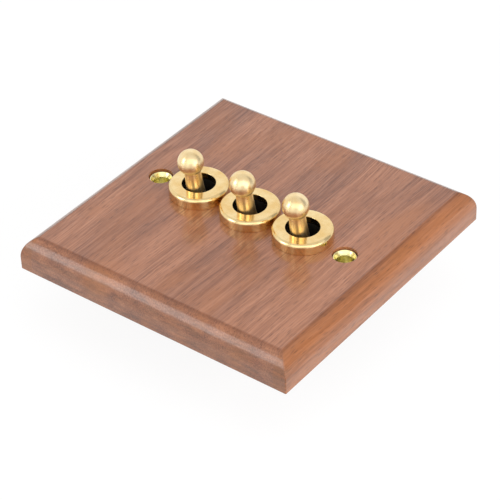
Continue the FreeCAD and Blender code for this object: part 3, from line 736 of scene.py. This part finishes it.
@dataclass(frozen=True)
class MouldedPlastic(Grained):
    """Black moulded plastic.

    The eye gets a near-black skin with the fine, dull grain of a spark-eroded mould. Real grain is about
    0.1 mm wide. It is drawn coarser, so that it shows in the picture.
    """

    detail: float = 4.0
    relief: float = 0.25
    relief_mm: float = 0.05


def finishes() -> dict[Slot, Material]:
    """One material for each slot of the record."""
    chosen = {
        Slot.WALNUT: LacqueredWalnut(),
        Slot.SATIN_BRASS: TurnedBrass(
            "satin_brass", "F2D9A4", "E8C484", rough=0.17, spread=0.3, line_mm=0.12, line_strength=0.14
        ),
        Slot.POLISHED_BRASS: TurnedBrass(
            "polished_brass", "FAF3BE", "F2E7A4", rough=0.28, spread=0.2, line_mm=0.2, line_strength=0.05
        ),
        Slot.BLACK_NYLON: MouldedPlastic("moulded_nylon", "1C1B19", "100F0E", rough=0.5, grain_mm=(0.4,) * 3),
        Slot.BLACK_PHENOLIC: MouldedPlastic(
            "moulded_phenolic", "2A2622", "1A1714", rough=0.32, grain_mm=(0.8,) * 3
        ),
        Slot.ZINC: SheetMetal("zinc_plated_steel", "C9CCCF", "A9AEB4", rough=0.34),
        Slot.SPRING_STEEL: SheetMetal("drawn_spring_steel", "B4B6B8", "8E9194", rough=0.25),
        Slot.COPPER: SheetMetal("rolled_copper", "D9906A", "B9704C", rough=0.28),
        Slot.SILVER: SheetMetal("silver_contact_alloy", "E4E3DF", "CBCAC6", rough=0.3),
        Slot.TERMINAL_BRASS: SheetMetal("stamped_brass", "D8B56A", "BE9850", rough=0.3),
    }
    return {slot: finish.material() for slot, finish in chosen.items()}


# The object


@dataclass
class WallPlate:
    """The walnut board and the two brass eyelets of its fixing screws.

    Attributes:
        edge_inset: Reach of the rounded edge over the face.
        edge_round: Radius of the rounded edge.
        arris: Reach of the rounding along the back edge.
        crease: Rounding of the line where face and edge meet.
        corner: Rounding of the mitres at the corners, at the face.
        bush_hole: Radius of the holes for the switches.
        seat: Radius of the sunk seats of the eyelets.
        seat_deep: Depth of those seats.
        tube_hole: Radius of the holes under the seats.
        lip, lip_round: Width of the seats' rounded edge, and its radius.
        soft: Rounding of the seats' inner corners.
        bore: Radius of an eyelet's bore.
        mouth: Radius of its flared mouth.
        mouth_deep: Depth of that mouth.
        tube: Radius of its tube.
        switch_pitch: Distance between the switches.
        steady: Half of the square in which the outline's points keep their places.
        crowd: Distance beside a cell's limit from which its points are seen at equal angles.
        CELL_POINTS, LIMIT_POINTS, CORNER_POINTS: Numbers of points along a cell's front, along its limit with
            the two ends, and round a corner.
    """

    edge_inset: float = 4.0
    edge_round: float = 6.5
    arris: float = 0.4
    crease: float = 0.1
    corner: float = 0.2
    bush_hole: float = 6.2
    seat: float = 3.3
    seat_deep: float = 2.25
    tube_hole: float = 2.7
    lip: float = 0.12
    lip_round: float = 0.108
    soft: float = 0.05
    bore: float = 2.15
    mouth: float = 2.85
    mouth_deep: float = 1.2
    tube: float = 2.6
    switch_pitch: float = 17.0
    steady: float = 26.0
    crowd: float = 7.0

    CELL_POINTS: ClassVar[int] = 12
    LIMIT_POINTS: ClassVar[int] = 41
    CORNER_POINTS: ClassVar[int] = 7

    def __post_init__(self) -> None:
        """Reads the board's size and the eyelets' places from the frame."""
        low, high = (np.array(corner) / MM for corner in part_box("walnut_plate"))
        self.half = (high[0] - low[0]) / 2
        self.thick = high[2] - low[2]
        self.face_half = self.half - self.edge_inset
        rim_low, rim_high = (np.array(corner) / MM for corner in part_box("right_screw_eyelet"))
        self.screw_x = (rim_low[0] + rim_high[0]) / 2
        self.rim, self.rim_top = (rim_high[0] - rim_low[0]) / 2, rim_high[2]

    @property
    def limits(self) -> np.ndarray:
        """X of the lines that part the face into five cells, each round one hole."""
        return self.switch_pitch * np.array([-1.5, -0.5, 0.5, 1.5])

    def edge_profile(self) -> np.ndarray:
        """The edge from back to face, as inset from the side and height: bevel, side, round edge, face."""
        side_top = self.thick - math.sqrt(self.edge_round**2 - (self.edge_round - self.edge_inset) ** 2)
        start, end = np.array([0.0, side_top]), np.array([self.edge_inset, self.thick])
        curve = arc(start, end, -self.edge_round, steps=18)
        # The first and the last point, a stub away, only give the line's ends their directions.
        stub = 2.0
        back = np.array([[stub, 0.0], [self.arris, 0.0], [0.0, self.arris]])
        line = np.concatenate([back, curve, [[self.edge_inset + stub, self.thick]]])
        radii = np.zeros(len(line))
        radii[[1, 2, -2]] = self.arris, self.arris, self.crease
        return fillet(line, radii, closed=False)[1:-1]

    def lines(self) -> tuple[np.ndarray, np.ndarray, np.ndarray]:
        """Places along the outline.

        Returns:
            The X of points along the front side with the cells' limits among them, the Y of points along a
            cell's limit, and the points of the right side with its two round corners.
        """
        end = self.face_half - self.corner
        stops = np.concatenate([[-end], self.limits, [end]])
        along = np.append(np.linspace(stops[:-1], stops[1:], self.CELL_POINTS, endpoint=False, axis=1), end)
        turn = np.linspace(-1, 1, self.LIMIT_POINTS)[1:-1] * math.atan(self.face_half / self.crowd)
        up = self.crowd * np.tan(turn)
        quarter = np.linspace(0, math.pi / 2, self.CORNER_POINTS)
        bend = np.stack([end + self.corner * np.sin(quarter), -end - self.corner * np.cos(quarter)], axis=1)
        up_side = np.stack([np.full(len(up), self.face_half), up], axis=1)
        right = np.concatenate([bend, up_side, bend[::-1] * (1, -1)])
        return along, up, right

    def cells(self) -> list[np.ndarray]:
        """The face's outline cut at the cells' limits: five closed lines, each round one hole."""
        along, up, right = self.lines()
        edge = self.face_half
        cuts = [np.stack([np.full(len(up), x), up], axis=1) for x in self.limits]
        left_sides = [right[::-1] * (-1, 1)] + [cut[::-1] for cut in cuts]
        right_sides = cuts + [right]
        stops = np.concatenate([[-edge], self.limits, [edge]])
        loops = []
        for low, high, left_side, right_side in zip(stops[:-1], stops[1:], left_sides, right_sides):
            inner = along[(along > low - SAME_MM) & (along < high + SAME_MM)]
            front = np.stack([inner, np.full(len(inner), -edge)], axis=1)
            loop = np.concatenate([front, right_side, front[::-1] * (1, -1), left_side])
            loops.append(distinct(loop, closed=True))
        return loops

    def outline(self) -> np.ndarray:
        """The face's whole outline, anticlockwise."""
        along, _, right = self.lines()
        front = np.stack([along, np.full(len(along), -self.face_half)], axis=1)
        loop = np.concatenate([front, right, front[::-1] * (1, -1), right[::-1] * (-1, 1)])
        return distinct(loop, closed=True)

    def spread(self, line: np.ndarray, half: np.ndarray) -> np.ndarray:
        """Stretches the face's outline to other half widths, with the points near the middle kept in place.

        Args:
            line: Points of the face's outline.
            half: The half width wanted, one number or one for each row.

        Returns:
            The stretched points.
        """
        share = (half - self.steady) / (self.face_half - self.steady)
        beyond = np.maximum(np.abs(line) - self.steady, 0)
        return line + np.sign(line) * beyond * (share - 1)

    @staticmethod
    def rays(loop: np.ndarray, centre: float) -> np.ndarray:
        """Directions of length 1 from a hole's middle at X centre to the points of its cell's outline."""
        ray = loop - (centre, 0)
        return ray / np.linalg.norm(ray, axis=1, keepdims=True)

    def face(self, loop: np.ndarray, centre: float, hole: float, half: float, height: float) -> Patch:
        """A flat cell between its outline and its hole, whose points lie on rays from the hole's middle.

        Args:
            loop: The cell's outline on the face.
            centre: X of the hole's middle.
            hole: Radius of the hole.
            half: Half the width of the whole outline at this height.
            height: Height of the cell.

        Returns:
            The cell.
        """
        inner = self.rays(loop, centre) * hole + (centre, 0)
        return stacked(np.stack([self.spread(loop, half), inner]), np.full(2, height))

    def wall(self, loop: np.ndarray, centre: float, profile: np.ndarray) -> Patch:
        """The wall of a cell's hole: a profile of radius and height on the same rays as the cell's points."""
        flat = profile[:, None, :1] * self.rays(loop, centre)[None] + (centre, 0)
        return stacked(flat, profile[:, 1])

    def board(self) -> bpy.types.Object:
        """The board: its edge carried round the outline, its two faces and the walls of its five holes."""
        profile = self.edge_profile()
        half = self.half - profile[:, 0]
        rings = self.spread(self.outline()[None], half[:, None, None])
        patches = [stacked(rings, profile[:, 1])]
        pitch, top, sunk = self.switch_pitch, self.thick, self.thick - self.seat_deep
        centres = [-self.screw_x, -pitch, 0.0, pitch, self.screw_x]
        bush = np.array([[self.bush_hole, top], [self.bush_hole, 0.0]])
        # Radius, height and rounding of each corner.
        corners = np.array(
            [
                [self.seat + self.lip, top, 0.0],
                [self.seat, top, self.lip_round],
                [self.seat, sunk, self.soft],
                [self.tube_hole, sunk, self.soft],
                [self.tube_hole, 0.0, 0.0],
            ]
        )
        eyelet = fillet(corners[:, :2], corners[:, 2], closed=False)
        walls = [eyelet, bush, bush, bush, eyelet]
        for loop, centre, hole in zip(self.cells(), centres, walls):
            patches.append(self.face(loop, centre, hole[0, 0], half[-1], top))
            patches.append(self.wall(loop, centre, hole))
            patches.append(self.face(loop, centre, hole[-1, 0], half[0], 0.0))
        made = piece("walnut_board", patches, sharp_deg=50.0)
        even_shading(made)
        return made

    def eyelet(self, name: str, x: float) -> bpy.types.Object:
        """An eyelet: a closed profile of tube, flange and flared mouth, turned about the screw's axis."""
        top, seat = self.rim_top, self.thick - self.seat_deep
        # Radius, height and rounding of each corner.
        corners = np.array(
            [
                [self.bore, 0.0, 0.1],
                [self.tube, 0.0, 0.1],
                [self.tube, seat, 0.05],
                [self.rim, seat, 0.1],
                [self.rim, top, 0.12],
                [self.mouth, top, 0.2],
                [self.bore, top - self.mouth_deep, 0.4],
            ]
        )
        profile = fillet(corners[:, :2], corners[:, 2], closed=True, steps=6)
        ring = turned(profile, around=96, closed=True)
        ring.points[..., 0] += x
        made = piece(name, [ring])
        even_shading(made)
        return made

    def build(self, finish: dict[Slot, Material]) -> None:
        """Makes and dresses the board and the eyelets."""
        keep(self.board(), "wall_plate", Slot.WALNUT, finish[Slot.WALNUT], "walnut_plate")
        for side, x in (("left", -self.screw_x), ("right", self.screw_x)):
            brass = finish[Slot.POLISHED_BRASS]
            made = self.eyelet(f"{side}_eyelet", x)
            keep(made, "wall_plate", Slot.POLISHED_BRASS, brass, f"{side}_screw_eyelet")


@dataclass
class DollySwitch:
    """What shows of one switch of the row: its brass ring nut and its brass dolly.

    Attributes:
        side: Which switch of the row it is.
        hole: Radius of the ring nut's hole.
        thread: Radius of the ring nut's thread.
        lip: Thickness of the ring nut's lip.
        edge: Rounding of the ring nut's outer edge.
        rim: Rounding of the hole's edge.
        ball: Radius of the dolly's ball.
        ball_reach: Distance from the hinge to the ball's middle.
        neck: Radius of the stem under the ball.
        stem: Radius of the stem at its seat.
        sweep: Radius of the stem's hollow flare.
        seat_reach: Distance from the hinge to the seat.
        peg: Radius of the peg under the seat.
        peg_end: Distance from the hinge to the peg's end.
        peg_round, seat_round, neck_round: Roundings of the peg's end, of the seat's edge and under the ball.
    """

    side: Side
    hole: float = 4.55
    thread: float = 6.0
    lip: float = 1.8
    edge: float = 1.0
    rim: float = 0.15
    ball: float = 3.525
    ball_reach: float = 19.65
    neck: float = 2.175
    stem: float = 3.0
    sweep: float = 300.0
    seat_reach: float = 1.9
    peg: float = 1.5
    peg_end: float = 1.0
    peg_round: float = 0.1
    seat_round: float = 0.12
    neck_round: float = 0.12

    def __post_init__(self) -> None:
        """Reads the ring nut's box and the hinge from the frame."""
        low, high = (np.array(corner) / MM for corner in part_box(self.node("ring_nut")))
        self.centre = (low + high) / 2
        self.ring, self.ring_low, self.ring_top = (high[0] - low[0]) / 2, low[2], high[2]
        hinge = next(joint for joint in frame["joints"] if joint["name"] == self.node("dolly_hinge"))
        self.pivot = np.array(hinge["pos_m"]) / MM
        self.lean = math.radians(hinge["range_deg"][1] / 2)

    def node(self, part: str) -> str:
        """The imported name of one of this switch's parts."""
        return f"{self.side.value}_{part}"

    def ring_nut(self) -> bpy.types.Object:
        """The ring nut: a closed profile with a lip, turned about the switch's axis."""
        low, top, lip = self.ring_low, self.ring_top, self.ring_top - self.lip
        # Radius, height and rounding of each corner.
        corners = np.array(
            [
                [self.thread, low, 0.1],
                [self.ring, low, 0.12],
                [self.ring, top, self.edge],
                [self.hole, top, self.rim],
                [self.hole, lip, 0.08],
                [self.thread, lip, 0.05],
            ]
        )
        profile = fillet(corners[:, :2], corners[:, 2], closed=True, steps=10)
        ring = turned(profile, around=160, closed=True)
        ring.points[..., :2] += self.centre[:2]
        made = piece(self.node("brass_ring"), [ring])
        even_shading(made)
        return made

    def dolly(self) -> bpy.types.Object:
        """The dolly: peg, seat, hollow flare and ball in one profile, turned, leant and set on its hinge."""
        neck_reach = self.ball_reach - math.sqrt(self.ball**2 - self.neck**2)
        start = np.array([[0, self.peg_end], [self.peg, self.peg_end], [self.peg, self.seat_reach]])
        seat, neck = np.array([self.stem, self.seat_reach]), np.array([self.neck, neck_reach])
        flare = arc(seat, neck, -self.sweep, steps=24)
        angle = np.linspace(math.asin(self.neck / self.ball), math.pi, num=49)[1:]
        ball = np.stack([self.ball * np.sin(angle), self.ball_reach - self.ball * np.cos(angle)], axis=1)
        ball[-1, 0] = 0.0
        line = np.concatenate([start, flare, ball])
        radii = np.zeros(len(line))
        peg_corner, seat_corner, neck_corner = 1, len(start), len(start) + len(flare) - 1
        radii[peg_corner] = self.peg_round
        radii[seat_corner] = self.seat_round
        radii[neck_corner] = self.neck_round
        made_of = turned(fillet(line, radii, closed=False), around=128, closed=False)
        x, y, z = np.moveaxis(made_of.points, 2, 0)
        cos, sin = math.cos(self.lean), math.sin(self.lean)
        made_of.points = np.stack([x, y * cos - z * sin, y * sin + z * cos], axis=-1) + self.pivot
        return piece(self.node("brass_dolly"), [made_of])

    def build(self, finish: dict[Slot, Material], rubbed: Material) -> None:
        """Makes and dresses what shows on the plate, the dolly in a duller brass than the ring nut, with
        tones painted lighter.
        """
        brass = finish[Slot.SATIN_BRASS]
        keep(self.ring_nut(), "wall_plate", Slot.SATIN_BRASS, brass, self.node("ring_nut"))
        keep(self.dolly(), self.node("toggle"), Slot.SATIN_BRASS, rubbed, self.node("dolly"))


@dataclass
class SwitchModule:
    """The working parts of one switch behind the plate.

    Attributes:
        side: Which switch of the row it belongs to.
        SOFT: Bevel of each piece whose edges show from behind, in millimetres, with its slot.
        PLAIN: Slot of each piece that keeps its solid.
    """

    side: Side

    SOFT: ClassVar[dict[str, tuple[float, Slot]]] = {
        "bush_cover": (0.2, Slot.BLACK_NYLON),
        "saddle": (0.15, Slot.ZINC),
        "switch_base": (0.2, Slot.BLACK_PHENOLIC),
        "terminal_washers": (0.1, Slot.ZINC),
        "terminal_screws": (0.08, Slot.TERMINAL_BRASS),
        "common_terminal": (0.1, Slot.TERMINAL_BRASS),
        "upper_terminal": (0.1, Slot.TERMINAL_BRASS),
        "lower_terminal": (0.1, Slot.TERMINAL_BRASS),
    }
    PLAIN: ClassVar[dict[str, Slot]] = {
        "lever": Slot.BLACK_NYLON,
        "toggle_spring": Slot.SPRING_STEEL,
        "plunger": Slot.SPRING_STEEL,
        "pivot_pin": Slot.SPRING_STEEL,
        "rocker_contact": Slot.COPPER,
        "moving_tips": Slot.SILVER,
        "fixed_tips": Slot.SILVER,
    }

    def build(self, finish: dict[Slot, Material]) -> None:
        """Softens the pieces that show from behind and dresses the others."""
        for part, (width, slot) in self.SOFT.items():
            node = f"{self.side.value}_{part}"
            keep(softened(node, width), "wall_plate", slot, finish[slot], node)
        for part, slot in self.PLAIN.items():
            solid = frame["nodes"][f"{self.side.value}_{part}"]
            solid.data.materials.clear()
            solid.data.materials.append(finish[slot])
            LOG.info("%s keeps its solid in %s", solid.name, slot.value)


# The studio


@dataclass
class Camera:
    """The photograph's viewpoint, as fitted to the plate's corners, holes and rings.

    Attributes:
        azimuth: Turn round the object from its front, in degrees.
        elevation: Height over the floor, in degrees.
        roll: Turn of the picture, in degrees.
        distance: Distance to the target.
        target: The point in the picture's middle.
        focal_px: Focal length in pixels of a picture that is picture_px wide.
        sensor_mm: Width of the camera's sensor.
        clip_m: Nearest and farthest distance that the camera sees, in metres.
    """

    azimuth: float = 38.459
    elevation: float = 37.669
    roll: float = -2.147
    distance: float = 523.745
    target: Triple = (5.188, -7.228, 5.0)
    focal_px: float = 2015.97
    picture_px: int = 500
    sensor_mm: float = 36.0
    clip_m: Pair = (0.01, 20.0)

    def build(self) -> None:
        """Makes the camera and gives it to the scene."""
        a, e, r = (math.radians(angle) for angle in (self.azimuth, self.elevation, self.roll))
        back = Vector((math.sin(a) * math.cos(e), -math.cos(a) * math.cos(e), math.sin(e)))
        level = Vector((math.cos(a), math.sin(a), 0))
        upright = back.cross(level)
        right = level * math.cos(r) + upright * math.sin(r)
        up = upright * math.cos(r) - level * math.sin(r)
        data = bpy.data.cameras.new("photo_camera")
        data.sensor_width = self.sensor_mm
        data.lens = self.focal_px / self.picture_px * self.sensor_mm
        data.clip_start, data.clip_end = self.clip_m
        camera = bpy.data.objects.new("photo_camera", data)
        place = (Vector(self.target) + back * self.distance) * MM
        turn = Matrix((right, up, back)).transposed().to_4x4()
        camera.matrix_world = Matrix.Translation(place) @ turn
        bpy.context.scene.collection.objects.link(camera)
        bpy.context.scene.camera = camera


@dataclass
class Softbox:
    """A plain lamp that points at the object and that metal and lacquer don't mirror.

    Attributes:
        name: The lamp's name.
        toward: Direction from the object to the lamp.
        distance: Distance from the object, in metres.
        size: Width and height, in metres.
        level: Brightness of its face, where 1 is white.
    """

    name: str
    toward: Triple
    distance: float
    size: Pair
    level: float

    def build(self) -> None:
        """Makes the lamp."""
        data = bpy.data.lights.new(self.name, "AREA")
        data.shape = "RECTANGLE"
        data.size, data.size_y = self.size
        data.energy = self.level * math.pi * data.size * data.size_y
        lamp = bpy.data.objects.new(self.name, data)
        lamp.visible_glossy = False
        toward = Vector(self.toward).normalized()
        lamp.location = toward * self.distance
        lamp.rotation_mode = "QUATERNION"
        lamp.rotation_quaternion = toward.to_track_quat("Z", "Y")
        bpy.context.scene.collection.objects.link(lamp)


def sheet(name: str, corners: list[Triple]) -> bpy.types.Object:
    """A flat sheet of the studio with four corners, in metres."""
    mesh = bpy.data.meshes.new(name)
    mesh.from_pydata(corners, [], [[0, 1, 2, 3]])
    made = bpy.data.objects.new(name, mesh)
    bpy.context.scene.collection.objects.link(made)
    return made


@dataclass
class Card:
    """A white card out of the picture that metal and lacquer mirror, and that lights no dull surface.

    Attributes:
        name: The card's name.
        corners: Its four corners, in metres.
        level: Its brightness, where 1 is white.
        again: The share of that brightness in the mirror image of a mirror image.
    """

    name: str
    corners: list[Triple]
    level: float
    again: float = 1.0

    def build(self) -> None:
        """Makes the card, whose brightness depends on the number of mirrors on the way to the camera."""
        card = sheet(self.name, self.corners)
        card.visible_camera = False
        card.visible_diffuse = False
        card.visible_shadow = False
        material, tree = new_material(self.name)
        mirrors = add_node(tree, "LightPath", {}, out="Glossy Depth")
        levels = {"Value": mirrors, 1: 1.0, 2: 2.0, 3: self.level, 4: self.level * self.again}
        strength = add_node(tree, "MapRange", levels)
        paper = add_node(tree, "Emission", {"Color": linear(WHITE), "Strength": strength})
        add_node(tree, "OutputMaterial", {"Surface": paper})
        card.data.materials.append(material)


@dataclass
class Studio:
    """White surroundings, a white floor that keeps a faint shadow, cards for the mirrors, and soft lamps.

    Attributes:
        ambient: Level of the light from all round on dull surfaces.
        floor_glow: Part of the floor's white that doesn't depend on the light on it.
        floor_share: Part of the floor's white that the light gives, so that a shadow shows.
        floor_half: Half the floor's width, in metres.
        paper: Tone of the floor in the light that it throws on dull surfaces.
        CARDS: The cards. The front one is in three parts, so that the stems mirror a darker stripe.
        LAMPS: The lamps.
    """

    ambient: float = 0.6
    floor_glow: float = 0.9
    floor_share: float = 0.13
    floor_half: float = 3.0
    paper: str = "E8E8E8"

    CARDS: ClassVar[list[Card]] = [
        Card("ceiling", [(-1.2, -1.2, 1.3), (1.2, -1.2, 1.3), (1.2, 1.2, 1.3), (-1.2, 1.2, 1.3)], level=0.85),
        Card(
            "left_card",
            [(-0.755, -0.729, 0.22), (-0.41, -0.967, 0.22), (-0.41, -0.967, 0.86), (-0.755, -0.729, 0.86)],
            level=4.0,
        ),
        Card(
            "right_card",
            [(0.95, -0.5, 0.0), (1.05, 0.2, 0.0), (1.05, 0.2, 0.8), (0.95, -0.5, 0.8)],
            level=2.0,
        ),
        Card(
            "back_card",
            [(-1.154, 0.489, 0.35), (-0.214, 1.235, 0.35), (-0.214, 1.235, 1.25), (-1.154, 0.489, 1.25)],
            level=1.07,
        ),
        Card(
            "dark_card",
            [(0.704, 0.97, 0.063), (1.14, 0.37, 0.063), (0.496, 0.591, 0.919), (0.06, 0.686, 0.983)],
            level=0.5,
        ),
        Card(
            "front_left_card",
            [(0.065, -1.303, 0.256), (0.27, -1.143, 0.256), (-0.068, -0.709, 0.968), (-0.273, -0.869, 0.968)],
            level=1.6,
            again=1.4,
        ),
        Card(
            "front_middle_card",
            [(0.27, -1.143, 0.256), (0.731, -0.782, 0.256), (0.393, -0.348, 0.968), (-0.068, -0.709, 0.968)],
            level=1.6,
            again=0.25,
        ),
        Card(
            "front_right_card",
            [(0.731, -0.782, 0.256), (1.089, -0.502, 0.256), (0.751, -0.068, 0.968), (0.393, -0.348, 0.968)],
            level=1.6,
            again=1.4,
        ),
        Card(
            "low_card",
            [(0.363, -0.713, 0.05), (0.613, -0.514, 0.05), (0.613, -0.514, 0.25), (0.363, -0.713, 0.25)],
            level=0.55,
        ),
    ]
    LAMPS: ClassVar[list[Softbox]] = [
        Softbox("right_softbox", toward=(0.95, -0.1, 0.3), distance=1.0, size=(0.8, 0.6), level=4.7),
        Softbox("left_softbox", toward=(-0.45, -0.82, 0.26), distance=1.0, size=(0.8, 0.8), level=1.15),
        Softbox("top_softbox", toward=(0.25, 0.1, 1.0), distance=1.15, size=(1.0, 1.0), level=0.78),
    ]

    def seen(self, tree: Tree) -> Socket:
        """One for rays from the camera, a mirror or glass, and zero for the light on dull surfaces."""
        path = add_node(tree, "LightPath", {}).node.outputs
        either = add_node(
            tree, "Math", {0: path["Is Camera Ray"], 1: path["Is Glossy Ray"]}, operation="MAXIMUM"
        )
        return add_node(tree, "Math", {0: either, 1: path["Is Transmission Ray"]}, operation="MAXIMUM")

    def world(self) -> None:
        """White all round for the camera and for mirrors, and a softer level for dull surfaces."""
        world = bpy.data.worlds.new("white_studio")
        world.use_nodes = True
        tree = world.node_tree
        tree.nodes.clear()
        white = linear(WHITE)
        dull = add_node(tree, "Background", {"Color": white, "Strength": self.ambient})
        bright = add_node(tree, "Background", {"Color": white, "Strength": 1.0})
        mixed = add_node(tree, "MixShader", {0: self.seen(tree), 1: dull, 2: bright})
        add_node(tree, "OutputWorld", {"Surface": mixed})
        bpy.context.scene.world = world

    def floor(self) -> None:
        """A white paper floor under the object's lowest point, on which the eye gets only a faint shadow."""
        square = np.array([[-1, -1], [1, -1], [1, 1], [-1, 1]]) * self.floor_half
        points = np.concatenate([square, np.full((4, 1), CAD_BOX[0].z)], axis=1)
        floor = sheet("floor", points.tolist())
        material, tree = new_material("white_paper")
        share = self.floor_share
        paper = add_node(tree, "BsdfDiffuse", {"Color": linear(self.paper)})
        shaded = add_node(tree, "BsdfDiffuse", {"Color": (share, share, share, 1.0)})
        glow = add_node(tree, "Emission", {"Color": linear(WHITE), "Strength": self.floor_glow})
        both = add_node(tree, "AddShader", {0: shaded, 1: glow})
        mixed = add_node(tree, "MixShader", {0: self.seen(tree), 1: paper, 2: both})
        add_node(tree, "OutputMaterial", {"Surface": mixed})
        floor.data.materials.append(material)

    def build(self) -> None:
        """Makes the studio."""
        bpy.context.scene.view_settings.view_transform = "Standard"
        self.world()
        self.floor()
        for thing in (*self.CARDS, *self.LAMPS):
            thing.build()


def main() -> None:
    """Builds the studio and dresses the object, part by part."""
    logging.basicConfig(level=logging.INFO, format="%(message)s")
    Studio().build()
    Camera().build()
    finish = finishes()
    # The dolly gets a rougher copy of the ring nut's brass with tones painted lighter, so that its stem looks
    # bright beside the dark hole that it mirrors.
    rubbed = TurnedBrass(
        "rubbed_brass_painted_lighter", "FCE6B8", "F2D298", rough=0.29, spread=0.6, line_mm=0.12, line_strength=0.15
    ).material()
    WallPlate().build(finish)
    for side in Side:
        DollySwitch(side).build(finish, rubbed)
        SwitchModule(side).build(finish)


if __name__ == "__main__":
    main()
